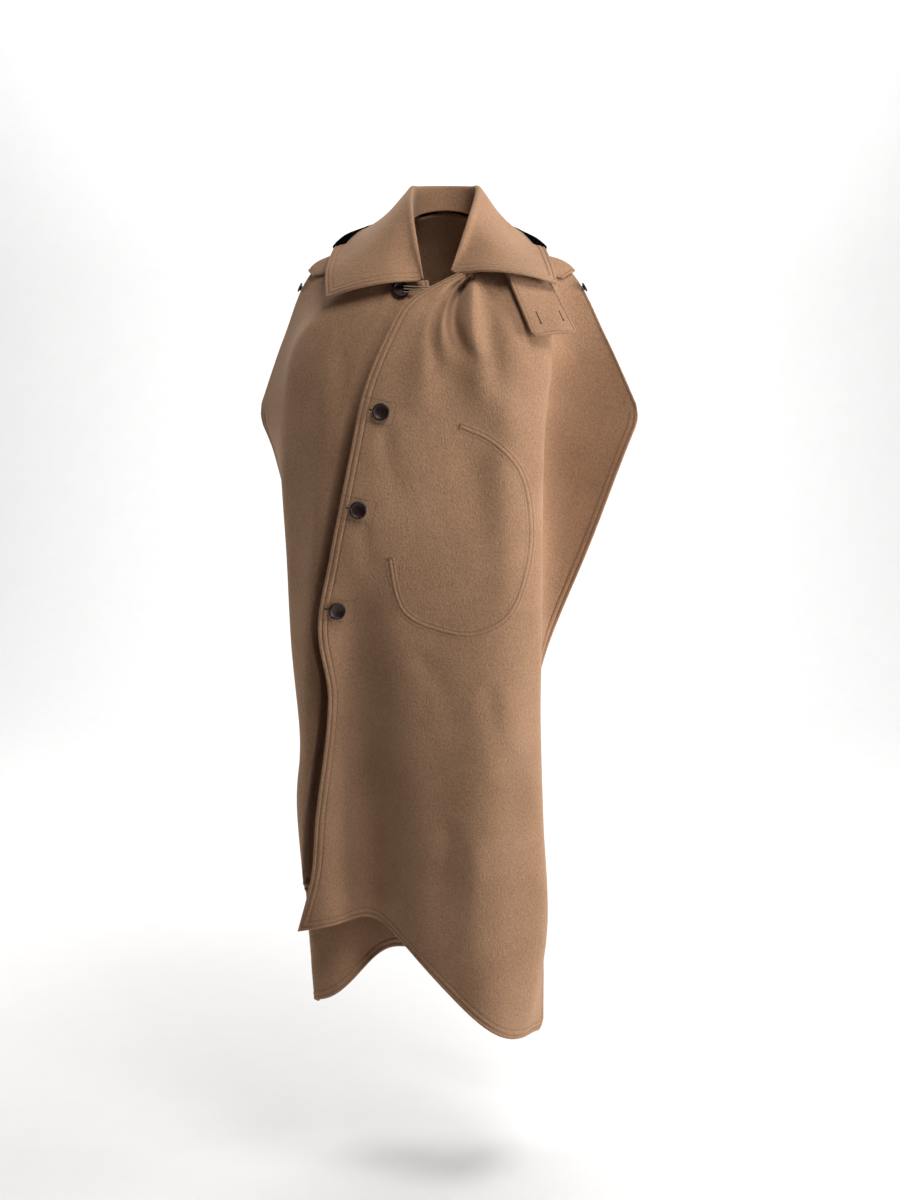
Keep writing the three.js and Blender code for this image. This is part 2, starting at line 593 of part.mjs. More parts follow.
function add(name, geometry, look) {
  const mesh = new THREE.Mesh(geometry, new THREE.MeshStandardMaterial(look));
  mesh.name = name;
  cape.add(mesh);
}

// Columns of the panels, closer together at the fold
const acrosses = [...spread(0, 0.66, 11), 0.7, 0.73, 0.76, 0.79, ...spread(0.84, 1, 4)];
const fromCentre = [...spread(0.1, 0.6, 5), 0.69, 0.74, 0.79, ...spread(0.86, 1, 2)];
const rightHalf = fromCentre.map((w) => (1 - w) / 2).reverse();
const acrossBack = [...rightHalf, 0.5, ...fromCentre.map((w) => (1 + w) / 2)];
add("left_front", panel(leftFront, acrosses, [1]), WOOL);
add("right_front", panel(rightFront, acrosses, [1]), WOOL);
add("back", panel(back, acrossBack, [0, 1]), WOOL);

const COLLAR_STEPS = 32;
const FELT_AROUND = [7, 26]; // first step of the felt around the neck, and the one past its last
const FELT_FROM = 7; // first step of the felt down the fall
const arounds = spread(0, 1, COLLAR_STEPS);
const alongs = [0, 0.12, 0.24, 0.28, 0.32, 0.36, 0.4, 0.48, 0.55, 0.7, 0.85, 1];
add("collar", collarLayer(arounds, alongs, 0, DOUBLE_CLOTH), WOOL);
const under = DOUBLE_CLOTH + SEAM_GAP;
const underFelt = under + UNDER_COLLAR_CLOTH;
const feltAround = arounds.slice(...FELT_AROUND);
add("under_collar", collarLayer(feltAround, alongs.slice(FELT_FROM), under, underFelt), FELT);

add("throat_tab", tabGeometry(), WOOL);
add("shoulder_strap_left", strap(leftFront, (u) => u), WOOL);
add("shoulder_strap_right", strap(rightFront, (u) => 1 - u), WOOL);
add("pocket_bag", pocketGeometry(), WOOL);

for (const { name, x, z, on } of FRONT_BUTTONS) {
  const cloth = on === "left" ? leftFront : rightFront;
  const [across, down] = placeAt(cloth, x, z);
  const normal = outward(cloth, across, down);
  add(name, buttonGeometry(FRONT_BUTTON, FRONT_SHANK, cloth.surface(across, down), normal), HORN);
}
for (const [name, sections] of [
  ["shoulder_button_left", LEFT_FRONT],
  ["shoulder_button_right", RIGHT_FRONT],
]) {
  const place = sideLine(sections, "side", SHOULDER_BUTTON_AT);
  const run = sideLine(sections, "side", SHOULDER_BUTTON_AT + SEAM_STEP).sub(place);
  const normal = new THREE.Vector3(-run.z * Math.sign(place.x), 0, Math.abs(run.x)).normalize();
  add(name, buttonGeometry(SHOULDER_BUTTON, SHOULDER_SHANK, place, normal), HORN);
}

export default cape;
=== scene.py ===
"""Looks of a camel wool cape in its worn form, on the frame of its solids.

Lengths in the tables are millimetres in the shared frame: +X towards the left front, +Y the back, +Z up.
"""
import math

import bpy
import numpy as np
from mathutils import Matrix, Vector


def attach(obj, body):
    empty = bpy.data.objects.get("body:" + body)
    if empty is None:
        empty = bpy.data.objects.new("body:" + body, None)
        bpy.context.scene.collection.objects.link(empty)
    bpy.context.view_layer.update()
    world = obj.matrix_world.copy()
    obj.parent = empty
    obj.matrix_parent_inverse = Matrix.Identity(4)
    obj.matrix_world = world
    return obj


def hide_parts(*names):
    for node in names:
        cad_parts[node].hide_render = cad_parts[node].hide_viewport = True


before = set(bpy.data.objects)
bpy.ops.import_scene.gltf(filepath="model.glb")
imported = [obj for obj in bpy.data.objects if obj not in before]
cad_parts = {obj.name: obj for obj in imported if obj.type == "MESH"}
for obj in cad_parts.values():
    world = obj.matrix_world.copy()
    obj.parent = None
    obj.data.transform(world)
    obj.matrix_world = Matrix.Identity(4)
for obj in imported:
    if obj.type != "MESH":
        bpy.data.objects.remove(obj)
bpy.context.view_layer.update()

MM = 0.001
UP, BACKWARD = np.array((0, 0, 1.0)), np.array((0, 1.0, 0))

CLOTH = 3.0
DOUBLE_CLOTH = 4.5
SEAM_GAP, SEAM_RISE = 0.3, 2.0
SEAM_LEAN, LEAN_FROM, SQUARE_LIMIT = 0.5, 130.0, 0.4
UNDER_COLLAR_CLOTH = 1.2
POCKET_CLOTH = 1.2
POCKET_CLEAR = 4.2
FRONT_BUTTON = 26.0
SHOULDER_BUTTON = 15.0
STITCH_NEAR, STITCH_FAR = 5.8, 14.0
WELT_PUFF, GROOVE_DEPTH, GROOVE_WIDTH = 0.6, 0.7, 0.8

NECK_SIDE_LEFT, NECK_SIDE_RIGHT = (60, 6, -4), (-54, 6, -4)
YOKE_LEFT, YOKE_RIGHT = (130, 8, -44), (-130, 8, -41)
SHOULDER_TIP_LEFT, SHOULDER_TIP_RIGHT = (195, 10, -69), (-199, 10, -69)
UPPER_ARM_LEFT, UPPER_ARM_RIGHT = (252, -8, -172), (-246, 2, -172)
WING_TIP_LEFT, WING_TIP_RIGHT = (305, -30, -290), (-287, -10, -290)


def table(columns, rows):
    """Columns by name, each an array over the rows."""
    return {name: np.array([row[i] for row in rows]) for i, name in enumerate(columns.split())}


SECTION = "name down bulge hollow cup lift edge fold side"
LEFT_FRONT = table(SECTION, [
    ("neck", 0, 0, 0, 0, 0, (30, -96, -73), (66, -60, -40), NECK_SIDE_LEFT),
    ("yoke", 60, 6, 5, 0, 0, (-51, -124, -118), (112, -84, -76), YOKE_LEFT),
    ("shoulder", 110, 18, 22, 8, 0, (-80, -140, -162), (160, -96, -136), SHOULDER_TIP_LEFT),
    ("arm", 200, 22, 46, 24, 0, (-116, -158, -249), (176, -104, -205), UPPER_ARM_LEFT),
    ("wing", 290, 24, 70, 46, 0, (-135, -168, -336), (170, -106, -295), WING_TIP_LEFT),
    ("elbow", 345, 24, 68, 46, 0, (-146, -172, -390), (168, -108, -362), (280, -34, -352)),
    ("waist", 455, 24, 44, 28, 0, (-168, -175, -498), (165, -112, -482), (229, -36, -490)),
    ("hip", 565, 24, 16, 6, 0, (-186, -170, -604), (161, -116, -622), (165, -28, -655)),
    ("thigh", 675, 26, 0, 0, 0, (-172, -166, -713), (154, -120, -745), (142, -14, -765)),
    ("knee", 860, 28, 0, 0, 0, (-194, -152, -900), (161, -128, -915), (142, -8, -930)),
    ("calf", 950, 28, 0, 0, 4, (-202, -152, -990), (165, -132, -1080), (158, -54, -1105)),
    ("hem", 1040, 28, 0, 0, 14, (-224, -152, -1077), (126, -160, -1236), (158, -112, -1250)),
])
RIGHT_FRONT = table(SECTION, [
    ("neck", 0, 0, 0, 0, 0, (-22, -82, -88), (-60, -58, -40), NECK_SIDE_RIGHT),
    ("yoke", 60, 8, 4, 0, 0, (-16, -106, -118), (-118, -78, -76), YOKE_RIGHT),
    ("shoulder", 110, 16, 8, 0, 0, (-14, -122, -162), (-178, -88, -128), SHOULDER_TIP_RIGHT),
    ("arm", 200, 24, 6, 0, 0, (-14, -140, -249), (-228, -88, -190), UPPER_ARM_RIGHT),
    ("wing", 290, 26, 4, 0, 0, (-14, -150, -336), (-241, -94, -297), WING_TIP_RIGHT),
    ("elbow", 345, 26, 4, 0, 0, (-14, -154, -390), (-246, -98, -385), (-262, -14, -352)),
    ("waist", 455, 26, 0, 0, 0, (-14, -156, -498), (-242, -100, -500), (-232, -8, -490)),
    ("hip", 565, 26, 0, 0, 0, (-12, -152, -604), (-238, -102, -640), (-212, -8, -650)),
    ("thigh", 675, 26, 0, 0, 0, (-10, -146, -713), (-226, -102, -780), (-200, -8, -780)),
    ("knee", 860, 26, 0, 0, 0, (-8, -130, -900), (-233, -104, -890), (-198, -8, -920)),
    ("calf", 950, 26, 0, 0, -9, (-6, -130, -990), (-222, -104, -1020), (-196, -30, -1070)),
    ("hem", 1040, 26, 0, 0, -34, (-5, -128, -1085), (-206, -108, -1203), (-195, -92, -1214)),
])
BACK = table("name down side_right fold_right centre fold_left side_left", [
    ("neck", 0, NECK_SIDE_RIGHT, (-42, 46, 14), (3, 66, 22), (48, 46, 14), NECK_SIDE_LEFT),
    ("yoke", 60, YOKE_RIGHT, (-105, 62, -30), (3, 106, -25), (108, 62, -30), YOKE_LEFT),
    ("shoulder", 110, SHOULDER_TIP_RIGHT, (-166, 76, -90), (3, 138, -95),
     (164, 76, -90), SHOULDER_TIP_LEFT),
    ("arm", 200, UPPER_ARM_RIGHT, (-196, 86, -180), (3, 152, -180), (186, 86, -180), UPPER_ARM_LEFT),
    ("wing", 290, WING_TIP_RIGHT, (-205, 96, -290), (3, 155, -290), (184, 96, -290), WING_TIP_LEFT),
    ("elbow", 345, (-258, 20, -352), (-206, 106, -360), (3, 154, -360), (176, 106, -360), (277, 8, -352)),
    ("waist", 455, (-222, 60, -490), (-206, 120, -490), (3, 150, -490), (168, 120, -490), (222, 60, -490)),
    ("hip", 565, (-200, 78, -650), (-204, 132, -640), (3, 150, -640), (162, 132, -640), (160, 78, -650)),
    ("thigh", 675, (-188, 80, -770), (-202, 140, -770), (3, 154, -770), (160, 140, -770), (142, 80, -770)),
    ("knee", 860, (-186, 84, -920), (-206, 148, -915), (3, 162, -910), (162, 148, -915), (140, 84, -920)),
    ("calf", 950, (-188, 92, -1075), (-208, 152, -1050), (3, 166, -1000),
     (164, 152, -1050), (142, 92, -1075)),
    ("hem", 1040, (-196, 116, -1200), (-206, 152, -1175), (3, 170, -1070),
     (164, 152, -1185), (150, 116, -1212)),
])
WING_ROW = 4
WING_DOWN = 290.0
HEM_DOWN = 1040.0

# Folds: name, top x and z, foot x and z, bow, width at top and foot, depth at top and foot
NECK_PLEATS = [
    ("lap_top_roll", 44, -72, -44, -122, 5, 9, 12, 16, 3),
    ("pleat_ridge_edge", 10, -104, -30, -262, -8, 11, 26, 7, 4),
    ("pleat_trough_edge", 25, -90, -12, -210, -15, 5, 13, -17, -3),
    ("pleat_ridge_middle", 30, -90, 8, -200, -20, 5.5, 12, 11, 2),
    ("pleat_trough_deep", 35, -90, 46, -206, -25, 5.5, 14, -25, -4),
    ("pleat_ridge_outer", 45, -92, 84, -290, -16, 9, 30, 13, 5),
    ("pleat_trough_outer", 66, -110, 74, -330, 4, 12, 28, -6, -3),
]
LAP_FOLDS = [
    ("knee_trough", -134, -520, -104, -1130, 0, 38, 50, -10, -74),
    ("front_ridge", 50, -420, 84, -1260, 0, 70, 76, 6, 34),
]
BREAST_FOLDS = [
    ("breast_ridge", 96, -150, 108, -760, 6, 58, 52, 16, 12),
]
COLUMN_FOLDS = [
    ("column_ridge", -172, -200, -214, -1010, -8, 24, 18, 8, 16),
]
# How far the right front steps back under the lap, and where the step starts and ends beside its edge
UNDER_LAP = table("z depth start end", [
    (-1160, 4, -8, 4), (-1090, 14, -6, 4), (-1030, 30, -9, -2), (-960, 46, -17, -10), (-875, 53, -18, -12),
    (-800, 54, -16, -10), (-730, 52, -14, -8), (-655, 46, -12, -6), (-560, 36, -13, -2), (-480, 26, -18, 2),
    (-300, 18, -24, 2), (-170, 10, -26, 2), (-100, 0, -20, 2),
])
BACK_FOLDS = [
    ("flute_right_outer", -150, -240, -164, -1200, 0, 34, 34, -4, -24),
    ("flute_right", -92, -330, -100, -1170, 0, 34, 40, 3, 18),
    ("flute_middle_trough", -30, -300, -38, -1120, 0, 34, 40, -3, -22),
    ("flute_middle", 34, -360, 36, -1120, 0, 34, 40, 3, 16),
    ("flute_left_trough", 96, -260, 104, -1180, 0, 32, 38, -4, -24),
]
# Finer creases than the solids have
LEFT_CREASES = [
    ("drag_to_shoulder", 64, -104, 152, -240, 8, 8, 14, -2.5, -0.5),
    ("drag_to_fold", 84, -100, 150, -180, -4, 7, 12, -2.2, -0.4),
    ("pocket_valley", 40, -330, 74, -560, 5, 24, 30, -3, -1.4),
    ("pocket_rise", 84, -330, 96, -560, 4, 22, 26, 2.5, 1),
    ("below_button", -84, -300, -60, -420, -5, 12, 20, -2.4, -0.8),
    ("lap_drag", -118, -440, -84, -560, -6, 11, 20, -2, -0.8),
    ("hip_crease", -40, -640, 26, -760, 9, 14, 24, -2, -0.8),
    ("thigh_crease", 70, -690, 118, -860, -8, 16, 22, -3, -1.4),
    ("shin_crease", 10, -900, -16, -1060, 5, 16, 26, -3.4, -1.6),
    ("shin_rise", 48, -930, 36, -1120, 4, 16, 24, 2.6, 1.2),
]
RIGHT_CREASES = [
    ("drag_below_button", -70, -120, -120, -240, 4, 9, 14, -2, -0.5),
    ("drag_to_arm", -92, -116, -178, -214, 8, 9, 15, -2.6, -0.8),
    ("chest_crease", -150, -190, -128, -330, -6, 13, 20, -3, -1),
    ("elbow_crease", -206, -250, -176, -372, 5, 12, 18, -2.6, -0.8),
    ("waist_crease", -196, -420, -214, -560, -4, 11, 15, -2.2, -1),
    ("hem_crease", -128, -1060, -150, -1200, 4, 14, 20, -3, -2),
]
BACK_CREASES = [
    ("shoulder_drag", -60, -90, -120, -260, 4, 14, 20, -3, -1),
    ("shoulder_drag_left", 52, -96, 122, -248, -5, 13, 22, -2.6, -0.8),
    ("nape_hollow", 4, -60, 12, -170, 3, 22, 30, -3, -1),
    ("blade_crease", 88, -170, 60, -300, -6, 15, 22, -2.4, -0.8),
    ("waist_crease", -70, -430, -34, -570, 6, 15, 24, -2.8, -1),
    ("hip_crease", 66, -560, 96, -720, -6, 14, 22, -2.6, -1.2),
]

# The pocket's sewn outline in the front view, x and z
POCKET = table("at spot", [
    (0, (22, -300)), (0.1, (74, -325)), (0.2, (116, -371)), (0.33, (132, -448)), (0.46, (124, -524)),
    (0.57, (96, -585)), (0.67, (42, -610)), (0.78, (-20, -598)), (0.85, (-55, -578)), (0.9, (-69, -549)),
    (1, (-79, -491)),
])
BAG_ALONG, BAG_ACROSS = np.linspace(0.04, 0.96, 60), np.linspace(0, 1, 40)
SEAM_PROFILE = table("off height", [
    (0, 0.95), (0.8, 0.9), (1.5, 0.72), (2.1, 0.46), (2.5, 0.24), (2.9, 0.08), (3.3, 0.04), (3.7, 0.1),
    (4.3, 0.28), (5.1, 0.36), (6.2, 0.26), (7.4, 0.08), (8.4, -0.25),
])
SEAM_STEPS, SEAM_FADE, SEAM_SUNK, SEAM_END_SUNK = 260, (-1, 7), 0.6, 0.5
TACK_ROWS, TACK_LIFT = (2, -3), 0.9
SEAM_STITCH, TACK = 3.3, 4.3
BOX_FROM, BOX_ACROSS, BOX_HALF, HOLE_SHOWS = 1.0, 53.0, 17.0, 5.6
BOX_DOWN, BOX_NEAR, BOX_STEPS, HOLE_STEPS = np.linspace(60, 1000, 900), 12, 60, 40
# Height of each strand at both ends, and its sag
NECK_STRANDS = ((-98.5, -97.0, 0.6), (-101.5, -101.0, 1.0), (-105.0, -105.5, 1.4))
LOOP_FROM, LOOP_TO, LOOP_RADIUS = (-14.0, -106.0), (-58.0, -104.0), 0.9
LOOP_BOW, LOOP_STEPS, LOOP_SIDES = 1.5, 24, 10

COLLAR = table("name around seam roll edge sag bow", [
    ("right_end", 0, (-28, -92, -88), (-28, -103, -87), (-174, -102, -114), -7, 20),
    ("right_front", 0.12, (-46, -52, -37), (-44, -54, 10), (-177, -58, -72), 8, 8),
    ("right_side", 0.25, (-47, 4, 0), (-44, 4, 50), (-161, 12, -27), 14, 0),
    ("right_back", 0.37, (-34, 42, 16), (-33, 44, 56), (-118, 78, -4), 8, 0),
    ("centre_back", 0.5, (3, 58, 23), (3, 60, 58), (3, 122, -2), 8, 0),
    ("left_back", 0.63, (40, 42, 16), (39, 44, 56), (116, 78, -9), 7, 0),
    ("left_side", 0.75, (53, 4, 0), (50, 4, 50), (153, 12, -30), 15, 0),
    ("left_front", 0.88, (44, -52, -40), (38, -56, 4), (166, -46, -62), 8, 8),
    ("left_end", 1, (14, -93, -78), (12, -104, -75), (172, -88, -92), -9, 26),
])
COLLAR_ROLL, ROLL_SHARE, CREST_RISE, ROLL_OUT, OVER_DROP = 6.0, 0.25, 0.6, 2.0, 0.8
# Shares of the way from seam to edge: seam, roll, crest, past the roll, three on the fall, edge
COLLAR_PLACES = np.array((0, 0.24, 0.32, 0.4, 0.55, 0.7, 0.85, 1))
FALL_SHARES, FALL_STARTS, SEWN_FROM = (0.25, 0.5, 0.75), (0.34, 0.46), 0.3
COLLAR_END = np.concatenate([(0, 0.0006, 0.0015), np.linspace(0.003, 0.04, 26)])
COLLAR_AROUND = np.concatenate([COLLAR_END, np.linspace(0.046, 0.954, 140), 1 - COLLAR_END[::-1]])
COLLAR_ALONG = np.concatenate([np.linspace(0, 0.86, 60), np.linspace(0.87, 0.992, 44),
                               (0.995, 0.9975, 0.999, 1.0)])
# The felt: under the collar, round its edge, and over it as a narrow binding
FELT_ROUND = table("past depth", [(0.7, 4.6), (1.1, 3.4), (1.2, 2.2), (1.1, 0.9), (0.7, -0.4)])
FELT_OVER = table("inside height", [(1.0, 0.8), (4.0, 0.9), (9.0, 0.9), (15.0, 0.9), (20.0, 0.8)])
FELT_AROUND, FELT_FROM = (7 / 32, 25 / 32), 0.48
# Corners of the tab: inner and outer at the top, outer and inner at the foot
TAB = ((94, -102, -76), (161, -62, -84), (201, -106, -164), (132, -140, -170))
TAB_BELLY, TAB_CORNER, TAB_STITCH = 4.0, 8.0, 5.0
TAB_FINE = np.concatenate([(0, 0.008, 0.02, 0.035), np.linspace(0.05, 0.95, 70), (0.965, 0.98, 0.992, 1)])
TAB_DEEP = np.concatenate([np.linspace(0, 0.88, 56),
                           0.88 + 0.12 * np.sin(np.linspace(0, np.pi / 2, 25)[1:])])
# Share across the tab, and where the slit starts and ends down it
TAB_HOLES = ((0.30, 0.62, 0.80), (0.82, 0.60, 0.78))
EYELET, EYELET_STEPS = 1.1, 24
# Pitch, length and radius of the stitches, and the rings of each one
TOPSTITCH, POCKET_STITCH, BOX_STITCH = (5.2, 4.0, 0.5), (4.2, 3.3, 0.42), (3.6, 3.1, 0.36)
TACK_STITCH, TAB_PURL, LAP_PURL = (0.6, 3.0, 0.4), (0.55, 2.3, 0.34), (0.55, 2.8, 0.42)
CAPSULE = table("at radius sink", [
    (-0.5, 0.3, -0.9), (-0.38, 0.85, -0.25), (0, 1.0, 0.15), (0.38, 0.85, -0.25), (0.5, 0.3, -0.9),
])
STITCH_SIDES = 4

STRAP_START, STRAP_END, STRAP_REACH, STRAP_LIFT = 50.0, 116.0, 0.08, 1.7
STRAP_TAPER, TAPER_FROM, BESIDE_SEAM, STRAP_COLUMN = 0.75, 0.72, 0.97, 15
STRAP_ALONG = np.concatenate([np.linspace(0, 0.97, 64), [0.985, 0.994, 1.0]])
STRAP_ACROSS = np.concatenate([[-1, -0.985, -0.96], np.linspace(-0.93, 0.93, 57), [0.96, 0.985, 1]])

BUTTONS = [("button_neck", -63, -104, "right"), ("button_upper", -90, -281, "left"),
           ("button_middle", -124, -424, "left"), ("button_lower", -158, -575, "left")]
FRONT_SHANK, SHOULDER_SHANK, SHANK_RADIUS, BUTTON_CLEAR = 2.0, 1.6, 4.0, 0.3
SHOULDER_BUTTON_AT = (138.0, 143.0)
BUTTON_TIP, BUTTON_RINGS, BUTTON_SIDES, BUTTON_LEAN = 0.3, 90, 64, (0.0, 0.3, 1.0)
# Radius and height, in shares of the button's radius
BUTTON_PROFILE = [(0.70, 0.0), (0.93, 0.06), (1.0, 0.16), (1.0, 0.25), (0.95, 0.33), (0.88, 0.36),
                  (0.79, 0.34), (0.7, 0.27), (0.55, 0.21), (0.4, 0.18), (0.2, 0.15), (0.0, 0.14)]

# How a fold fades in and out along it, as shares of its length
FADE_IN, FADE_OUT = (-0.08, 0.1), (1.0, 1.2)
FOLD_AT, BEND, DIP_FROM, BACK_ROUND = 0.74, 0.024, 0.25, 2.2
LIFT_PEAK = 6.75  # brings a (1 - a)^2 to 1 at its highest
CORNER_FROM, CORNER_ROUND, CORNER_TOP = 0.93, 10.0, 880.0
TIP_ROUND, TIP_REACH = 16.0, 24.0
LAP_TOP, LAP_STEPS = 40, 300
# Distances from an edge where the grids have a line
EDGE_STEPS = np.array((0, 0.35, 0.9, 1.6, 2.6, 3.8, 4.7, 5.3, 5.8, 6.3, 6.9, 8.2, 9.9, 11.6, 12.9, 13.5, 14.0,
                       14.5, 15.1, 16.4, 19.0))
HEM_STEPS = np.concatenate([(0, 0.25, 0.6, 1.1), np.arange(1.8, 30, 0.9)])
COARSE, EDGE_ROUND = 161, 0.92
# Where the search for a place on a front starts, how far it looks and corrects, and its limits
FIRST_ACROSS, FIRST_RISE, FIRST_DOWN = 0.4, 80, (20, HEM_DOWN - 20)
LOOK_ACROSS, LOOK_DOWN, CORRECTIONS, CORRECTION = 0.01, 4, 30, 0.7
ACROSS_LIMITS, DOWN_LIMITS = (0.005, 0.98), (1, HEM_DOWN - 5)
NEAR_ACROSS, NEAR_DOWN = 0.004, 2

WOOL_LIGHT, WOOL_MID, WOOL_DARK = (0.40, 0.238, 0.144, 1), (0.29, 0.164, 0.093, 1), (0.13, 0.064, 0.033, 1)
# GROOVE_SHADE is the width of the painted shade along each row of stitches
SHEEN, GROOVE_SHADE, THREAD_SHADE = (0.95, 0.8, 0.66, 1), 0.9, 0.6
FELT_TONES = (0.0008, 0.0008, 0.0008, 1), (0.003, 0.0027, 0.0027, 1)
HORN_TONES = (0.010, 0.005, 0.005, 1), (0.045, 0.017, 0.013, 1)
PALE_TONES = (0.86, 0.86, 0.86, 1), (0.89, 0.89, 0.89, 1)

# The stage, in metres. Lights: name, place, aim, size, watts, colour
FLOOR, SWEEP_BACK, SWEEP_RADIUS, SWEEP_HALF, SWEEP_TOP, SWEEP_STEPS = -1.50, 3.2, 1.6, 9.0, 7.0, 24
LIGHTS = [
    ("key", (2.94, -0.52, -0.24), (0, 0, -0.5), 1.5, 100, (1.0, 0.985, 0.97)),
    ("top", (0.55, -0.95, 1.20), (0, -0.1, -0.25), 0.9, 26, (1.0, 0.98, 0.96)),
    ("rim", (-2.81, 1.02, -0.10), (0, 0, -0.5), 1.5, 34, (1.0, 0.98, 0.96)),
    ("backdrop", (0, 2.2, 3.2), (0, 4.6, 0.6), 3.0, 200, (1.0, 1.0, 1.0)),
]
SKY_COLOUR, SKY_STRENGTH = (0.96, 0.97, 1.0, 1), 0.03
CAMERA_AT, CAMERA_DIP, CAMERA_SENSOR, CAMERA_LENS = (0.011, -2.8, -0.17), 8.4, 36.0, 53.7


def arch(u):
    """0 at both ends of 0 to 1, and 1 in the middle."""
    return 4 * u * (1 - u)


def step(low, high, x):
    """0 below low, 1 above high, smooth between."""
    t = np.clip((x - low) / (high - low), 0, 1)
    return t * t * (3 - 2 * t)


def cubic(first, second, slope_first, slope_second, span, t):
    """Cubic piece over a span between two values, with a slope given at each."""
    ease = t * t * (3 - 2 * t)
    return (first * (1 - ease) + second * ease + slope_first * span * t * (1 - t) ** 2
            + slope_second * span * t * t * (t - 1))


def neighbours(count):
    """The row before and the row after each row of a table, or the row itself at an end."""
    k = np.arange(count)
    return np.maximum(k - 1, 0), np.minimum(k + 1, count - 1)


def spline(tab, place, column, at, rows=slice(None)):
    """A column's value between the rows of a table: cubic pieces whose slope at each row is the
    mean slope between its two neighbours."""
    x = tab[place][rows].astype(float)
    y = tab[column][rows].astype(float)
    y = y[:, None] if y.ndim == 1 else y
    low, high = neighbours(len(x))
    slope = (y[high] - y[low]) / (x[high] - x[low])[:, None]
    at = np.asarray(at, float)
    i = np.clip(np.searchsorted(x, at, side="right") - 1, 0, len(x) - 2)
    span = (x[i + 1] - x[i])[..., None]
    t = np.clip((at - x[i]) / (x[i + 1] - x[i]), 0, 1)[..., None]
    return cubic(y[i], y[i + 1], slope[i], slope[i + 1], span, t)


def push(folds, x, z):
    """Sum of the folds at places of the front view: a bell across each fold's bowed line, of a depth
    and width that run evenly from its top to its foot and fade out at its ends."""
    total = np.zeros_like(x)
    for _, top_x, top_z, foot_x, foot_z, bow, width_top, width_foot, depth_top, depth_foot in folds:
        run_x, run_z = foot_x - top_x, foot_z - top_z
        length = math.hypot(run_x, run_z)
        along = ((x - top_x) * run_x + (z - top_z) * run_z) / length ** 2
        share = np.clip(along, 0, 1)
        off = ((x - top_x) * -run_z + (z - top_z) * run_x) / length - bow * arch(share)
        width = width_top + (width_foot - width_top) * share
        depth = depth_top + (depth_foot - depth_top) * share
        ends = step(*FADE_IN, along) * (1 - step(*FADE_OUT, along))
        total += depth * ends * np.exp(-(off / width) ** 2)
    return total


def legs(across):
    """Shares along the two legs of a section, which meet in a soft bend at FOLD_AT."""
    def ramp(u):
        return BEND * np.logaddexp(0, (u - FOLD_AT) / BEND)
    whole = ramp(1.0) - ramp(0.0)
    past = ramp(across) - ramp(0.0)
    return (across - past) / (1 - whole), past / whole


def side_line(tab, column, down):
    """The side of a panel: seam to the wing tip, then free edge, with a corner between that a mean of
    three places along the line makes round."""
    def line(at):
        upper = spline(tab, "down", column, at, slice(0, WING_ROW + 1))
        lower = spline(tab, "down", column, at, slice(WING_ROW, None))
        return np.where((at <= WING_DOWN)[..., None], upper, lower)
    near = TIP_ROUND * np.exp(-((down - WING_DOWN) / TIP_REACH) ** 2)
    return (line(down - near) + 2 * line(down) + line(down + near)) / 4


def front_surface(tab, folds):
    """Outer face of a front over across (0 free edge, 1 side) and down: a front leg that bulges and
    a flap that falls in, joined by a soft bend, pushed out by the folds."""
    def surface(across, level):
        a, b = legs(across)
        share = np.maximum(across - CORNER_FROM, 0) / (1 - CORNER_FROM)
        down = level - CORNER_ROUND * share ** 2 * step(CORNER_TOP, HEM_DOWN, level)
        edge, fold = (spline(tab, "down", c, down) for c in ("edge", "fold"))
        side = side_line(tab, "side", down)
        bulge, hollow, cup, lift = (spline(tab, "down", c, down)[..., 0]
                                    for c in ("bulge", "hollow", "cup", "lift"))
        x, y, z = (edge[..., k] + (fold - edge)[..., k] * (a if k < 2 else step(DIP_FROM, 1, a))
                   + (side - fold)[..., k] * b for k in range(3))
        x = x - np.sign(side[..., 0]) * hollow * arch(b)
        y = y - bulge * arch(a) + cup * arch(b)
        z = z + lift * LIFT_PEAK * a * (1 - a) ** 2
        y = y - push(folds, x, z) * (1 - b) ** 2
        return np.stack([x, y, z], -1)
    return surface


def back_surface(across, down):
    """Outer face of the back over across (0 right side, 1 left side) and down: from the centre an
    even curve to a soft bend on each side, then a flap."""
    left = (across > 0.5)[..., None]
    a, b = legs(np.abs(2 * across - 1))
    centre = spline(BACK, "down", "centre", down)
    fold = np.where(left, *(spline(BACK, "down", c, down) for c in ("fold_left", "fold_right")))
    side = np.where(left, *(side_line(BACK, c, down) for c in ("side_left", "side_right")))
    share = (a, a ** BACK_ROUND, step(0, 1, a))
    x, y, z = (centre[..., k] + (fold - centre)[..., k] * share[k] + (side - fold)[..., k] * b
               for k in range(3))
    y = y + push(BACK_FOLDS + BACK_CREASES, x, z) * (1 - b) ** 2
    return np.stack([x, y, z], -1)


left_surface = front_surface(LEFT_FRONT, NECK_PLEATS + LAP_FOLDS + BREAST_FOLDS + LEFT_CREASES)
fallen_surface = front_surface(RIGHT_FRONT, LAP_FOLDS + COLUMN_FOLDS + RIGHT_CREASES)
LAP_LINE = spline(LEFT_FRONT, "down", "edge", np.linspace(HEM_DOWN, LAP_TOP, LAP_STEPS))


def right_surface(across, down):
    """Outer face of the right front: its own fall, stepped back where the lap covers it by a depth
    that changes down the lap, between two places beside the lap's edge."""
    points = fallen_surface(across, down)
    z = points[..., 2]
    lap = np.interp(z, LAP_LINE[:, 2], LAP_LINE[:, 0])
    depth, start, end = (np.interp(z, UNDER_LAP["z"], UNDER_LAP[c]) for c in ("depth", "start", "end"))
    return points + BACKWARD * (depth * step(start, end, points[..., 0] - lap))[..., None]


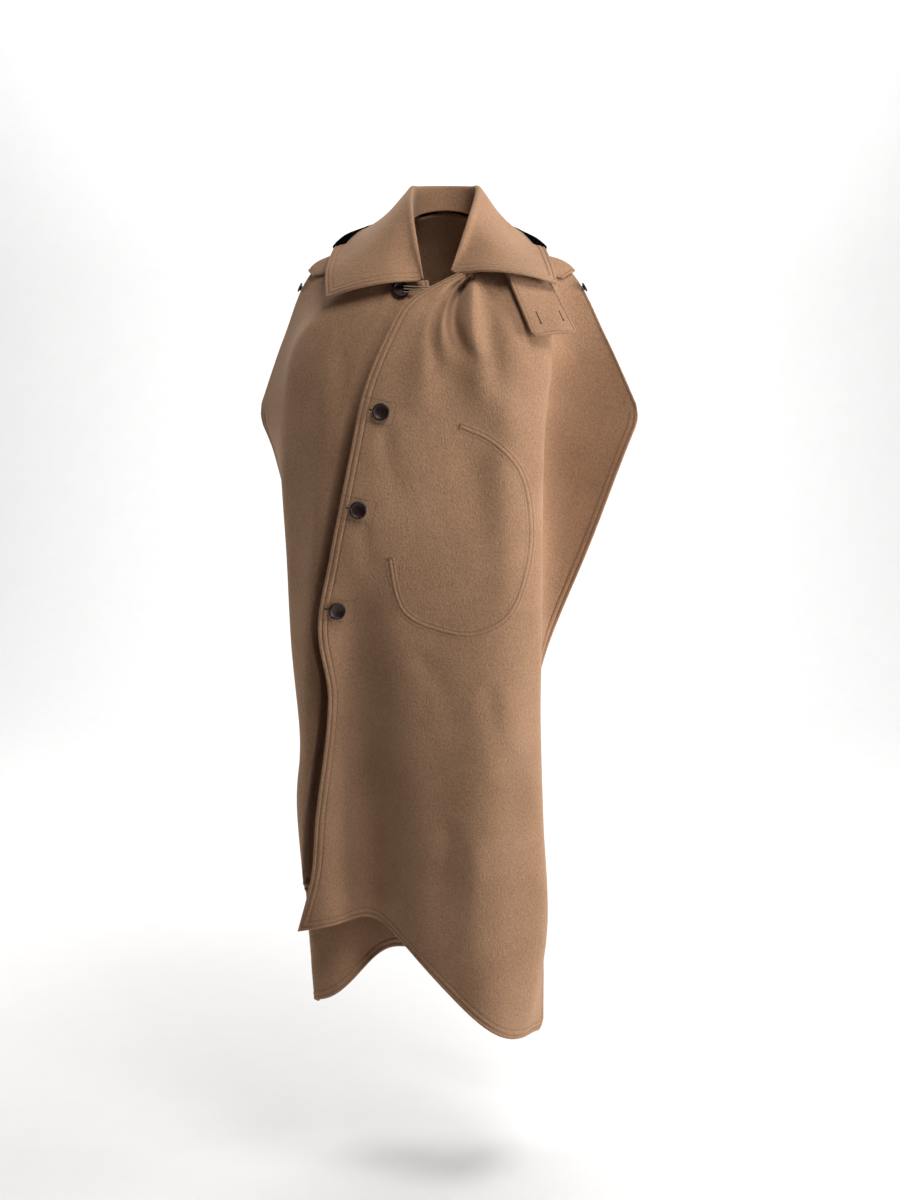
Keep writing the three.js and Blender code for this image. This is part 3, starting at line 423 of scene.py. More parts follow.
def collar_surface(around, along):
    """Face of the collar over around (0 right end, 1 left end) and along: up the stand, over the
    roll and down the fall, a smooth curve through points set from seam, roll and edge."""
    seam, roll, edge, sag, bow = (spline(COLLAR, "around", c, around)
                                  for c in ("seam", "roll", "edge", "sag", "bow"))
    out = unit((edge - roll) * (1, 1, 0))
    radius = np.minimum(COLLAR_ROLL, ROLL_SHARE * np.linalg.norm(roll - seam, axis=-1, keepdims=True))
    crest = roll + out * radius + UP * radius * CREST_RISE
    over = roll + out * (2 * radius + ROLL_OUT) - UP * radius * OVER_DROP
    falls = [over + (edge - over) * k - (UP * sag + BACKWARD * bow) * arch(k) for k in FALL_SHARES]
    points = np.stack([seam, roll, crest, over, *falls, edge])
    low, high = neighbours(len(COLLAR_PLACES))
    gap = (COLLAR_PLACES[high] - COLLAR_PLACES[low]).reshape((-1,) + (1,) * (points.ndim - 1))
    slope = (points[high] - points[low]) / gap
    i = np.clip(np.searchsorted(COLLAR_PLACES, along, side="right") - 1, 0, len(COLLAR_PLACES) - 2)

    def pick(values, index):
        index = np.broadcast_to(index[None, ..., None], (1,) + values.shape[1:])
        return np.take_along_axis(values, index, 0)[0]
    span = (COLLAR_PLACES[i + 1] - COLLAR_PLACES[i])[..., None]
    t = np.clip((along - COLLAR_PLACES[i])[..., None] / span, 0, 1)
    return cubic(pick(points, i), pick(points, i + 1), pick(slope, i), pick(slope, i + 1), span, t)


def unit(v):
    """Vectors brought to length 1."""
    return v / np.maximum(np.linalg.norm(v, axis=-1, keepdims=True), 1e-9)


def grid_normals(points, turn):
    """Unit normals of a grid of points, from its differences down and across."""
    return unit(np.cross(np.gradient(points, axis=0), np.gradient(points, axis=1))) * turn


def make_object(name, points, faces, material, edge=None, solid=True):
    """A smooth mesh object from points in millimetres and faces of equal corner count, with each
    point's distance from the sewn edge. It stands for the solid of its name, where there is one."""
    mesh = bpy.data.meshes.new(name)
    faces = np.asarray(faces, np.int32)
    mesh.vertices.add(len(points))
    mesh.vertices.foreach_set("co", (np.asarray(points) * MM).astype(np.float32).ravel())
    mesh.loops.add(faces.size)
    mesh.loops.foreach_set("vertex_index", faces.ravel())
    mesh.polygons.add(len(faces))
    mesh.polygons.foreach_set("loop_start", np.arange(0, faces.size, faces.shape[1], dtype=np.int32))
    mesh.polygons.foreach_set("use_smooth", np.ones(len(faces), bool))
    if edge is not None:
        layer = mesh.attributes.new("edge_mm", "FLOAT", "POINT")
        layer.data.foreach_set("value", np.asarray(edge, np.float32).ravel())
    mesh.update(calc_edges=True)
    mesh.validate()
    mesh.materials.append(material)
    thing = bpy.data.objects.new(name, mesh)
    bpy.context.collection.objects.link(thing)
    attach(thing, "root")
    if solid:
        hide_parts(name)
    return thing


def quads(rows, columns, start=0, flip=False):
    """Corner indices of the squares of a grid."""
    i = (np.arange(rows - 1)[:, None] * columns + np.arange(columns - 1)[None, :]).ravel() + start
    q = np.stack([i, i + columns, i + columns + 1, i + 1], -1)
    return q[:, ::-1] if flip else q


def wall(name, outer, inner, turn, material, edge=None, solid=True):
    """Closed sheet between two grids of points."""
    rows, columns = outer.shape[:2]
    n = rows * columns
    ring = np.concatenate([np.arange(columns), np.arange(1, rows) * columns + columns - 1,
                           n - 2 - np.arange(columns - 1), np.arange(rows - 2, 0, -1) * columns])
    after = np.roll(ring, -1)
    rim = np.stack([ring, after, after + n, ring + n], -1)
    flip = turn < 0
    faces = np.concatenate([quads(rows, columns, 0, flip), quads(rows, columns, n, not flip),
                            rim[:, ::-1] if flip else rim])
    points = np.concatenate([outer.reshape(-1, 3), inner.reshape(-1, 3)])
    both = None if edge is None else np.concatenate([edge.ravel(), edge.ravel()])
    return make_object(name, points, faces, material, both, solid)


def tube_faces(count, rings, sides, flip=False):
    """Corner indices of closed tubes: squares round each one, and a strip of squares over both ends."""
    i, j = np.meshgrid(np.arange(rings - 1), np.arange(sides), indexing="ij")
    after = (j + 1) % sides
    around = np.stack([i * sides + j, i * sides + after, (i + 1) * sides + after, (i + 1) * sides + j], -1)
    k = np.arange(sides // 2 - 1)
    cap = np.stack([k, sides - 1 - k, sides - 2 - k, k + 1], -1)
    one = np.concatenate([around.reshape(-1, 4), cap, cap[:, ::-1] + (rings - 1) * sides])
    one = one[:, ::-1] if flip else one
    return (one[None] + (np.arange(count) * rings * sides)[:, None, None]).reshape(-1, 4)


def arc(points, axis):
    """Length along a grid's lines from their start."""
    gaps = np.linalg.norm(np.diff(points, axis=axis), axis=-1)
    zero = np.zeros_like(np.take(gaps, [0], axis=axis))
    return np.concatenate([zero, np.cumsum(gaps, axis=axis)], axis=axis)


def sheet_area(points):
    """Area in square metres of a grid of points in millimetres, each square as two triangles."""
    a = np.cross(points[1:, :-1] - points[:-1, :-1], points[:-1, 1:] - points[:-1, :-1])
    b = np.cross(points[1:, :-1] - points[1:, 1:], points[:-1, 1:] - points[1:, 1:])
    return (np.linalg.norm(a, axis=-1).sum() + np.linalg.norm(b, axis=-1).sum()) / 2 * MM * MM


def welt(distance, rows=(STITCH_NEAR, STITCH_FAR)):
    """How far a sewn edge stands off the cloth: a soft roll before each row of stitches, half a sine
    high, and a narrow groove under each row."""
    height = np.zeros_like(distance)
    last = 0.0
    for at in rows:
        height += WELT_PUFF * np.sin(np.pi * np.clip((distance - last) / (at - last), 0, 1))
        height -= GROOVE_DEPTH * np.exp(-((distance - at) / GROOVE_WIDTH) ** 2)
        last = at
    return height


def even_columns(surface, downs, count):
    """Grid of across values, one row for each down, that are even along the cloth and close at both
    ends, where the edge is rounded."""
    coarse = np.linspace(0, 1, COARSE)
    lengths = arc(surface(*np.broadcast_arrays(coarse[None, :], downs[:, None])), 1)
    middle = np.linspace(0, 1, count)[1:-1]
    rows = []
    for line in lengths:
        full = line[-1]
        inside = EDGE_STEPS[-1] + (full - 2 * EDGE_STEPS[-1]) * middle
        wanted = np.concatenate([EDGE_STEPS, inside, full - EDGE_STEPS[::-1]])
        rows.append(np.interp(wanted, line, coarse))
    return np.array(rows)


def rounded(distance, thickness):
    """How far a face draws in towards the middle of the wall near a free edge: a quarter round."""
    r = thickness / 2
    d = np.clip(distance, 0, r)
    return EDGE_ROUND * (r - np.sqrt(np.maximum(r * r - (r - d) ** 2, 0)))


def polyline(values, points, at):
    """Points where the grid's values reach a level, one for each line of the grid."""
    return np.stack([[np.interp(at, v, p[:, k]) for k in range(3)] for v, p in zip(values, points)])


def seam_line(distance, grids, at, axis, keep, from_end=True):
    """Line over each grid at a distance from one of its sides: from the start or end of an axis."""
    turned = [np.flip(g, axis) if from_end else g for g in (distance, *grids)]
    turned = [np.swapaxes(g, 0, 1) if axis == 0 else g for g in turned]
    return tuple(polyline(turned[0], g, at)[keep] for g in turned[1:])


def stitches(name, lines, material, size=TOPSTITCH, across=False):
    """Thread stitches along lines of (points, normals), or across them: each a small capsule of four
    sides, sunk a little into the cloth at both ends."""
    pitch, length, radius = size
    spots, runs, ups = [], [], []
    for points, normals in lines:
        s = np.append(0, np.cumsum(np.linalg.norm(np.diff(points, axis=0), axis=1)))
        if s[-1] < pitch:
            continue
        at = np.arange(pitch / 2, s[-1] - pitch / 4, pitch)

        def take(places, values):
            return np.stack([np.interp(places, s, values[:, k]) for k in range(3)], -1)
        spots.append(take(at, points))
        runs.append(unit(take(at + 1, points) - take(at - 1, points)))
        ups.append(unit(take(at, normals)))
    spot, run, up = np.concatenate(spots), np.concatenate(runs), np.concatenate(ups)
    side = unit(np.cross(up, run))
    if across:
        run, side = side, run
    ring_at, ring_radius, sink = (CAPSULE[c] for c in ("at", "radius", "sink"))
    turn = np.arange(STITCH_SIDES) / STITCH_SIDES * 2 * np.pi
    centre = (spot[:, None] + run[:, None] * (ring_at * length)[None, :, None]
              + up[:, None] * (sink * radius)[None, :, None])
    spoke = side[:, None] * np.cos(turn)[None, :, None] + up[:, None] * np.sin(turn)[None, :, None]
    points = centre[:, :, None] + spoke[:, None] * (ring_radius * radius)[None, :, None, None]
    faces = tube_faces(len(spot), len(ring_at), len(turn), across)
    return make_object(name, points.reshape(-1, 3), faces, material, solid=False)


class Sock:
    """A shader socket that can be used in sums, on either side of a number."""

    def __init__(self, tree, socket):
        self.tree, self.socket = tree, socket

    def math(self, operation, *values):
        """The result of a Math node on these values or sockets."""
        node = self.tree.nodes.new("ShaderNodeMath")
        node.operation = operation
        for slot, v in zip(node.inputs, values):
            if isinstance(v, Sock):
                self.tree.links.new(v.socket, slot)
            else:
                slot.default_value = v
        return Sock(self.tree, node.outputs[0])

    def __add__(self, other):
        return self.math("ADD", self, other)

    def __radd__(self, other):
        return self.math("ADD", other, self)

    def __sub__(self, other):
        return self.math("SUBTRACT", self, other)

    def __rsub__(self, other):
        return self.math("SUBTRACT", other, self)

    def __mul__(self, other):
        return self.math("MULTIPLY", self, other)

    def __rmul__(self, other):
        return self.math("MULTIPLY", other, self)

    def __truediv__(self, other):
        return self.math("DIVIDE", self, other)

    def __rtruediv__(self, other):
        return self.math("DIVIDE", other, self)

    def __neg__(self):
        return self.math("MULTIPLY", self, -1.0)


class Material:
    """A node material: make() adds a node with settings and sockets and gives an output back."""

    def __init__(self, name):
        self.material = bpy.data.materials.new(name)
        self.material.use_nodes = True
        self.tree = self.material.node_tree
        self.tree.nodes.clear()

    def make(self, kind, settings=(), sockets=(), out=0):
        node = self.tree.nodes.new("ShaderNode" + kind)
        for key, v in dict(settings).items():
            setattr(node, key, v)
        for key, v in dict(sockets).items():
            if isinstance(v, Sock):
                self.tree.links.new(v.socket, node.inputs[key])
            else:
                node.inputs[key].default_value = v
        return Sock(self.tree, node.outputs[out]) if len(node.outputs) else None

    def noise(self, size_mm, detail=2.0, roughness=0.5, stretch=(1, 1, 1)):
        """Noise of about that grain size over object coordinates in metres, stretched, 0 to 1."""
        spot = self.make("TexCoord", out="Object")
        spot = self.make("Mapping", {"vector_type": "POINT"}, {"Vector": spot, "Scale": stretch})
        return self.make("TexNoise", {}, {"Vector": spot, "Scale": 1 / (size_mm * MM),
                                          "Detail": detail, "Roughness": roughness}, "Fac")

    def ramp(self, value, low, high):
        """0 where the value is low, 1 where it is high, even between."""
        return self.make("MapRange", {}, {"Value": value, "From Min": low, "From Max": high})

    def mix(self, share, first, second):
        """Colour between two colours."""
        return self.make("Mix", {"data_type": "RGBA", "clamp_factor": True},
                         {0: share, 6: first, 7: second}, 2)

    def bump(self, height, strength):
        """Normals of a height in metres."""
        return self.make("Bump", {}, {"Height": height, "Strength": strength, "Distance": 1.0})

    def finish(self, **sockets):
        """Ends in a principled surface with these inputs."""
        names = {key.replace("_", " ").title().replace("Ior", "IOR"): v for key, v in sockets.items()}
        surface = self.make("BsdfPrincipled", {}, names)
        self.make("OutputMaterial", {}, {"Surface": surface})
        return self.material


def bell(value, centre, width):
    """exp(-((value - centre) / width)^2) as nodes."""
    share = (value - centre) / width
    return value.math("EXPONENT", -(share * share))


def wool(name, rows=()):
    """Brushed camel wool: mottled warm colour, fine lying fibres and felted grain as bump, a soft
    sheen; painted shade darkening the colour along rows of stitches, where the grooves lie."""
    m = Material(name)
    cloud = m.noise(90, 3, 0.55)
    mottle = m.noise(3.4, 3, 0.6)
    fibre = m.noise(1.7, 3, 0.65, (1, 1, 0.4))
    grain = m.noise(0.7, 2, 0.6)
    tone = m.mix(m.ramp(cloud * 0.4 + mottle * 0.6, 0.36, 0.64), WOOL_MID, WOOL_LIGHT)
    tone = m.mix(m.ramp(fibre * 0.6 + grain * 0.4, 0.55, 0.72), tone, WOOL_DARK)
    if rows:
        # Painted shade: the colour darkens towards WOOL_DARK in a narrow band along each row of stitches,
        # where the groove lies
        edge = m.make("Attribute", {"attribute_name": "edge_mm"}, (), "Fac")
        groove = bell(edge, rows[0], GROOVE_SHADE) + bell(edge, rows[-1], GROOVE_SHADE) * (len(rows) - 1.0)
        tone = m.mix(groove * 0.3, tone, WOOL_DARK)
    bump = m.bump(mottle * 0.0010 + fibre * 0.0007 + grain * 0.00015, 0.9)
    return m.finish(base_color=tone, roughness=0.94, normal=bump, sheen_weight=0.22,
                    sheen_roughness=0.45, sheen_tint=SHEEN, specular_ior_level=0.2)


def felt(name):
    """Black felt: near black with a faint grain."""
    m = Material(name)
    grain = m.noise(1.5, 3, 0.6)
    return m.finish(base_color=m.mix(grain, *FELT_TONES), roughness=1.0, normal=m.bump(grain * 0.0003, 0.8),
                    specular_ior_level=0.0)


def thread(name, colour):
    """Twisted thread: even colour with a fine grain of a darker one."""
    m = Material(name)
    dark = tuple(c * THREAD_SHADE for c in colour)
    tone = m.mix(m.noise(0.6, 2, 0.6), dark + (1,), colour + (1,))
    return m.finish(base_color=tone, roughness=0.7, specular_ior_level=0.3)


def horn(name):
    """Polished dark horn: brown-black with streaks and a soft gloss."""
    m = Material(name)
    streak = m.noise(5, 4, 0.6, (1, 1, 0.3))
    fine = m.noise(1.2, 3, 0.6)
    return m.finish(base_color=m.mix(m.ramp(streak, 0.4, 0.7), *HORN_TONES), roughness=0.36 + fine * 0.18,
                    normal=m.bump(fine * 0.00006, 0.6), specular_ior_level=0.32, coat_weight=0.1,
                    coat_roughness=0.3)


WOOL_PANEL = wool("wool_panel", (STITCH_NEAR, STITCH_FAR))
WOOL_SMALL = wool("wool_small_piece", (TAB_STITCH,))
WOOL_SEAM = wool("wool_raised_seam", (SEAM_STITCH,))
WOOL_PLAIN = wool("wool_plain")
FELT = felt("under_felt")
HORN = horn("dark_horn")
THREAD = thread("topstitch_thread", (0.36, 0.20, 0.11))
DARK_THREAD = thread("buttonhole_thread", (0.05, 0.025, 0.015))
# Real thread of the lap's rectangles, its colour darkened as painted shade of the grooves its stitches sink
# into
SHADED_BOX_THREAD = thread("box_thread_painted_shade", (0.10, 0.055, 0.032))
LOOP_THREAD = thread("loop_thread", (0.42, 0.30, 0.19))


def locate(surface, x, z):
    """Across and down where a front is seen at x, z from the front, by repeated correction."""
    x, z = np.asarray(x, float), np.asarray(z, float)
    across, down = np.full_like(x, FIRST_ACROSS), np.clip(-z - FIRST_RISE, *FIRST_DOWN)
    for _ in range(CORRECTIONS):
        here = surface(across, down)
        by_u = (surface(across + LOOK_ACROSS, down) - here) / LOOK_ACROSS
        by_d = (surface(across, down + LOOK_DOWN) - here) / LOOK_DOWN
        area = by_u[..., 0] * by_d[..., 2] - by_u[..., 2] * by_d[..., 0]
        miss_x, miss_z = x - here[..., 0], z - here[..., 2]
        more_across = (miss_x * by_d[..., 2] - miss_z * by_d[..., 0]) / area
        more_down = (by_u[..., 0] * miss_z - by_u[..., 2] * miss_x) / area
        across = np.clip(across + CORRECTION * more_across, *ACROSS_LIMITS)
        down = np.clip(down + CORRECTION * more_down, *DOWN_LIMITS)
    return across, down


def normal_at(surface, across, down, turn):
    """Unit normals of a surface, from its differences near a place."""
    by_u = surface(across + NEAR_ACROSS, down) - surface(across - NEAR_ACROSS, down)
    by_d = surface(across, down + NEAR_DOWN) - surface(across, down - NEAR_DOWN)
    return unit(np.cross(by_d, by_u)) * turn


def on_left(seen):
    """Points and outward normals of the left front at places (x, z) of the front view."""
    across, down = locate(left_surface, seen[..., 0], seen[..., 1])
    return left_surface(across, down), normal_at(left_surface, across, down, 1)


def panel(name, surface, turn, faces, columns, rows, both_sides=False):
    """A panel's shell with rounded free edges and its topstitching. Its side above the wing tip is a
    seam, cut square so that the neighbour meets it with a small gap."""
    downs = np.concatenate([np.linspace(0, HEM_DOWN - HEM_STEPS[-1], rows), HEM_DOWN - HEM_STEPS[-2::-1]])
    across = even_columns(surface, downs, columns)
    down = np.broadcast_to(downs[:, None], across.shape)
    points = surface(across, down)
    normals = grid_normals(points, turn)
    from_start, from_top = arc(points, 1), arc(points, 0)
    from_end, to_hem = from_start[:, -1:] - from_start, from_top[-1:] - from_top
    above_tip = np.maximum(WING_DOWN - down, 0) * SEAM_RISE
    start = from_start + (above_tip if both_sides else 0)
    edge = np.minimum(np.minimum(start, from_end + above_tip), to_hem)
    lean = np.where(points[..., 0] > 0, SEAM_LEAN * step(LEAN_FROM, WING_DOWN, down), 0)
    way = np.stack([lean, np.sqrt(1 - lean ** 2), np.zeros_like(lean)], -1)
    square = normals - way * (normals * way).sum(-1, keepdims=True)
    square /= np.maximum((square ** 2).sum(-1, keepdims=True), SQUARE_LIMIT)
    ends = np.zeros(across.shape, bool)
    ends[:, -1] = True
    ends[:, 0] = both_sides
    ends &= down <= WING_DOWN
    shift = np.where(ends[..., None], way * faces * SEAM_GAP / 2, 0)
    draw = rounded(edge, CLOTH)[..., None]
    outer = points + shift - normals * (draw - welt(edge)[..., None])
    inner = points + shift - np.where(ends[..., None], square, normals) * (CLOTH - draw)
    thing = wall(name, outer, inner, turn, WOOL_PANEL, edge)
    grids = outer, normals
    free = downs > WING_DOWN
    lines = []
    for at in (STITCH_NEAR, STITCH_FAR):
        keep = (to_hem[:, 0] > at) & (free | (not both_sides))
        lines.append(seam_line(from_start, grids, at, 1, keep, False))
        lines.append(seam_line(from_end, grids, at, 1, (to_hem[:, -1] > at) & free))
        lines.append(seam_line(to_hem, grids, at, 0, (from_start[-1] > at) & (from_end[-1] > at)))
    sewing = stitches(name + "_topstitch", lines, THREAD)
    sheet_area(points)


panel("left_front", left_surface, 1, -1, 240, 136)
panel("right_front", right_surface, -1, -1, 180, 140)
panel("back", back_surface, -1, 1, 160, 150, both_sides=True)


def collar():
    """The collar's double cloth, sewn along its edge and ends, and the felt: under its back half,
    round its edge and over it."""
    around, along = np.broadcast_arrays(COLLAR_AROUND[:, None], COLLAR_ALONG[None, :])
    points = collar_surface(around, along)
    normals = grid_normals(points, 1)
    length, walk = arc(points, 1), arc(points, 0)
    to_edge, to_left = length[:, -1:] - length, walk[-1:] - walk
    edge = np.minimum(to_edge, np.minimum(walk, to_left))
    draw = rounded(edge, DOUBLE_CLOTH)[..., None]
    outer = points - normals * (draw - (welt(edge) * step(*FALL_STARTS, along))[..., None])
    thing = wall("collar", outer, points - normals * (DOUBLE_CLOTH - draw), 1, WOOL_PANEL, edge)
    grids = outer, normals
    sewn = COLLAR_ALONG > SEWN_FROM
    lines = []
    for at in (STITCH_NEAR, STITCH_FAR):
        lines.append(seam_line(to_edge, grids, at, 1, (walk[:, -1] > at) & (to_left[:, -1] > at)))
        lines.append(seam_line(walk, grids, at, 0, (to_edge[0] > at) & sewn, False))
        lines.append(seam_line(to_left, grids, at, 0, (to_edge[-1] > at) & sewn))
    sewing = stitches("collar_topstitch", lines, THREAD)
    sheet_area(points)
    back = (COLLAR_AROUND >= FELT_AROUND[0]) & (COLLAR_AROUND <= FELT_AROUND[1])
    points, normals, from_edge = points[back], normals[back], to_edge[back][:, ::-1]
    base, up = (g[:, COLLAR_ALONG >= FELT_FROM] for g in (points, normals))
    beyond = unit(base[:, -1] - base[:, -2])
    mid = DOUBLE_CLOTH / 2

    def layer(lift):
        """Rows of the felt from under the collar, round its edge and over it, moved out by a lift."""
        rows = [base - up * (DOUBLE_CLOTH + SEAM_GAP + lift)]
        for past, depth in zip(FELT_ROUND["past"], FELT_ROUND["depth"]):
            deep = depth + lift * (depth - mid) / mid
            rows.append((base[:, -1] + beyond * (past + lift) - up[:, -1] * deep)[:, None])
        for inside, height in zip(FELT_OVER["inside"], FELT_OVER["height"]):
            spot, way = (polyline(from_edge, g[:, ::-1], inside) for g in (points, normals))
            rows.append((spot + way * (height + lift))[:, None])
        return np.concatenate(rows, 1)
    near = layer(0)
    under = wall("under_collar", near, layer(UNDER_COLLAR_CLOTH), 1, FELT)
    sheet_area(near)


collar()


def small_piece(name, points, normals, turn, column, sewn_foot):
    """A small double piece, its sides and foot rounded and sewn. The sewing of its sides ends where
    the given column comes near the foot. Gives its wall, its outer face and its sewing."""
    width, length = arc(points, 1), arc(points, 0)
    from_end, to_foot = width[:, -1:] - width, length[-1:] - length
    edge = np.minimum(np.minimum(width, from_end), to_foot)
    draw = rounded(edge, DOUBLE_CLOTH)[..., None]
    outer = points - normals * (draw - welt(edge, (TAB_STITCH,))[..., None])
    thing = wall(name, outer, points - normals * (DOUBLE_CLOTH - draw), turn, WOOL_SMALL, edge)
    grids = outer, normals
    keep = to_foot[:, column] > TAB_STITCH
    lines = [seam_line(width, grids, TAB_STITCH, 1, keep, False),
             seam_line(from_end, grids, TAB_STITCH, 1, keep)]
    if sewn_foot:
        keep = (width[-1] > TAB_STITCH) & (from_end[-1] > TAB_STITCH)
        lines.append(seam_line(to_foot, grids, TAB_STITCH, 0, keep))
    return thing, outer, stitches(name + "_topstitch", lines, THREAD)


def strap(name, surface, turn, side):
    """Short strap over a shoulder seam: points of the front and back beside the seam, moved out."""
    k, m = np.broadcast_arrays(STRAP_ALONG[:, None], STRAP_ACROSS[None, :])
    down = STRAP_START + (STRAP_END - STRAP_START) * k
    half = STRAP_REACH * np.sqrt(1 - STRAP_TAPER * step(TAPER_FROM, 1, k))
    reach = np.abs(m) * half
    base = np.where((m < 0)[..., None], surface(1 - reach, down), back_surface(side(1 - reach / 2), down))
    n_front = normal_at(surface, np.full_like(k, BESIDE_SEAM), down, turn)
    n_back = normal_at(back_surface, np.full_like(k, side((1 + BESIDE_SEAM) / 2)), down, -1)
    normal = unit(n_front + (n_back - n_front) * ((m + 1) / 2)[..., None])
    mid = base + normal * (STRAP_LIFT + DOUBLE_CLOTH)
    thing, _, sewing = small_piece(name, mid, normal, turn, STRAP_COLUMN, False)
    sheet_area(mid)


strap("shoulder_strap_left", left_surface, 1, lambda u: u)
strap("shoulder_strap_right", right_surface, -1, lambda u: 1 - u)


def tab():
    """Throat tab: a skewed flat piece between four corners, bellied out, its foot drawn in to round
    corners, with a sewn edge and two keyhole buttonholes."""
    v, u = (g[..., None] for g in np.broadcast_arrays(TAB_DEEP[:, None], TAB_FINE[None, :]))
    top_inner, top_outer, foot_outer, foot_inner = (np.array(p, float) for p in TAB)
    wide = np.linalg.norm(foot_outer - foot_inner)
    long = np.linalg.norm(foot_inner - top_inner)
    rise = np.clip(TAB_CORNER - (1 - v) * long, 0, TAB_CORNER)
    draw_in = (TAB_CORNER - np.sqrt(TAB_CORNER ** 2 - rise ** 2)) / wide
    u = draw_in + u * (1 - 2 * draw_in)
    top = top_inner + (top_outer - top_inner) * u
    foot = foot_inner + (foot_outer - foot_inner) * u
    points = top + (foot - top) * v - BACKWARD * TAB_BELLY * arch(u)
    normals = grid_normals(points, 1)
    thing, outer, sewing = small_piece("throat_tab", points, normals, 1, 0, True)
    holes, eyes = [], []
    for at, start, end in TAB_HOLES:
        column = int(np.argmin(np.abs(TAB_FINE - at)))
        inside = (TAB_DEEP >= start) & (TAB_DEEP <= end)
        slit, up = outer[inside, column], normals[inside, column]
        holes.append((slit, up))
        run = unit(slit[-1] - slit[0])
        turn = np.linspace(0, 2 * np.pi, EYELET_STEPS)[:, None]
        ring = slit[-1] + EYELET * (run * (1 + np.cos(turn)) + np.cross(up[-1], run) * np.sin(turn))
        eyes.append((ring, np.broadcast_to(up[-1], ring.shape)))
    purl = stitches("throat_tab_buttonholes", holes + eyes, DARK_THREAD, TAB_PURL, True)
    sheet_area(points)


tab()


def pocket_bag():
    """Bag sewn inside the left front: from its mouth to the sewn outline, moved in from the cloth."""
    outline = spline(POCKET, "at", "spot", BAG_ALONG)
    first, last = POCKET["spot"][0], POCKET["spot"][-1]
    mouth = first + (last - first) * BAG_ALONG[:, None]
    points, normals = on_left(mouth[:, None] + (outline - mouth)[:, None] * BAG_ACROSS[None, :, None])
    top = CLOTH + POCKET_CLEAR
    thing = wall("pocket_bag", points - normals * top, points - normals * (top + POCKET_CLOTH), 1, WOOL_PLAIN)
    sheet_area(points)


pocket_bag()


def pocket_seam():
    """The raised seam where the pocket bag is sewn on: a corded strip along the pocket's outline, its
    height over the cloth given across it by a table, with a row of stitches on each side of the cord
    and a tack at each end."""
    line = spline(POCKET, "at", "spot", np.linspace(0, 1, SEAM_STEPS))
    run = unit(np.gradient(line, axis=0))
    inward = np.stack([run[:, 1], -run[:, 0]], -1)
    half = np.concatenate([-SEAM_PROFILE["off"][:0:-1], SEAM_PROFILE["off"]])
    rise = np.concatenate([SEAM_PROFILE["height"][:0:-1], SEAM_PROFILE["height"]])
    seen = line[:, None] + inward[:, None] * half[None, :, None]
    points, normals = on_left(seen)
    walk = arc(points, 0)
    ends = step(*SEAM_FADE, np.minimum(walk, walk[-1:] - walk))
    top = points + normals * (rise * ends - SEAM_END_SUNK * (1 - ends))[..., None]
    wall("pocket_seam", top, points - normals * SEAM_SUNK, -1, WOOL_SEAM, np.abs(half) + 0 * walk, False)
    rows = [int(np.argmin(np.abs(half - s * SEAM_STITCH))) for s in (-1, 1)]
    stitches("pocket_stitch", [(top[:, r], normals[:, r]) for r in rows], THREAD, POCKET_STITCH)
    tacks = []
    for i in TACK_ROWS:
        tack, up = on_left(seen[i][np.abs(half) <= TACK])
        tacks.append((tack + up * TACK_LIFT, up))
    stitches("pocket_tacks", tacks, THREAD, TACK_STITCH, True)


pocket_seam()


def lap_sewing():
    """Beside each button of the lap a stitched rectangle, square to the lap's edge, and a purled
    buttonhole that shows between the button and the edge."""
    edge = spline(LEFT_FRONT, "down", "edge", BOX_DOWN)[:, (0, 2)]
    over, side = np.linspace(BOX_FROM, BOX_ACROSS, BOX_STEPS), np.linspace(-BOX_HALF, BOX_HALF, HOLE_STEPS)
    frames, holes = [], []
    for _, x, z, cloth in BUTTONS:
        if cloth != "left":
            continue
        k = int(np.argmin(((edge - (x, z)) ** 2).sum(1)))
        run = unit(edge[k + BOX_NEAR] - edge[k - BOX_NEAR])
        inward = np.array((-run[1], run[0]))
        button_at = ((np.array((x, z)) - edge[k]) * inward).sum()
        slit = np.linspace(button_at - FRONT_BUTTON / 2 - HOLE_SHOWS, button_at, HOLE_STEPS)
        for lines, along, across in ((frames, -BOX_HALF, over), (frames, BOX_HALF, over),
                                     (frames, side, BOX_ACROSS), (holes, 0.0, slit)):
            along, across = np.broadcast_arrays(along, across)
            points, normals = on_left(edge[k] + run * along[:, None] + inward * across[:, None])
            lines.append((points + normals * welt(across)[:, None], normals))
    # The rectangles' thread is darkened as painted shade of their stitched grooves
    stitches("lap_rectangles", frames, SHADED_BOX_THREAD, BOX_STITCH)
    stitches("lap_buttonholes", holes, DARK_THREAD, LAP_PURL, True)


lap_sewing()


def neck_loop():
    """Three strands of thread from under the lap's edge round the shank of the neck button: round
    cords about sagging lines."""
    share = np.linspace(0, 1, LOOP_STEPS)[:, None]
    paths = []
    for from_z, to_z, sag in NECK_STRANDS:
        start, end = np.array((*LOOP_FROM, from_z)), np.array((*LOOP_TO, to_z))
        paths.append(start + (end - start) * share - np.array((0, LOOP_BOW, sag)) * arch(share))
    paths = np.array(paths)
    run = unit(np.gradient(paths, axis=1))
    side = unit(np.cross(run, BACKWARD))
    up = np.cross(side, run)
    turn = np.linspace(0, 2 * np.pi, LOOP_SIDES + 1)[:-1, None]
    ring = side[:, :, None] * np.cos(turn) + up[:, :, None] * np.sin(turn)
    points = paths[:, :, None] + LOOP_RADIUS * ring
    faces = tube_faces(*points.shape[:3], True)
    make_object("neck_loop", points.reshape(-1, 3), faces, LOOP_THREAD, solid=False)


neck_loop()


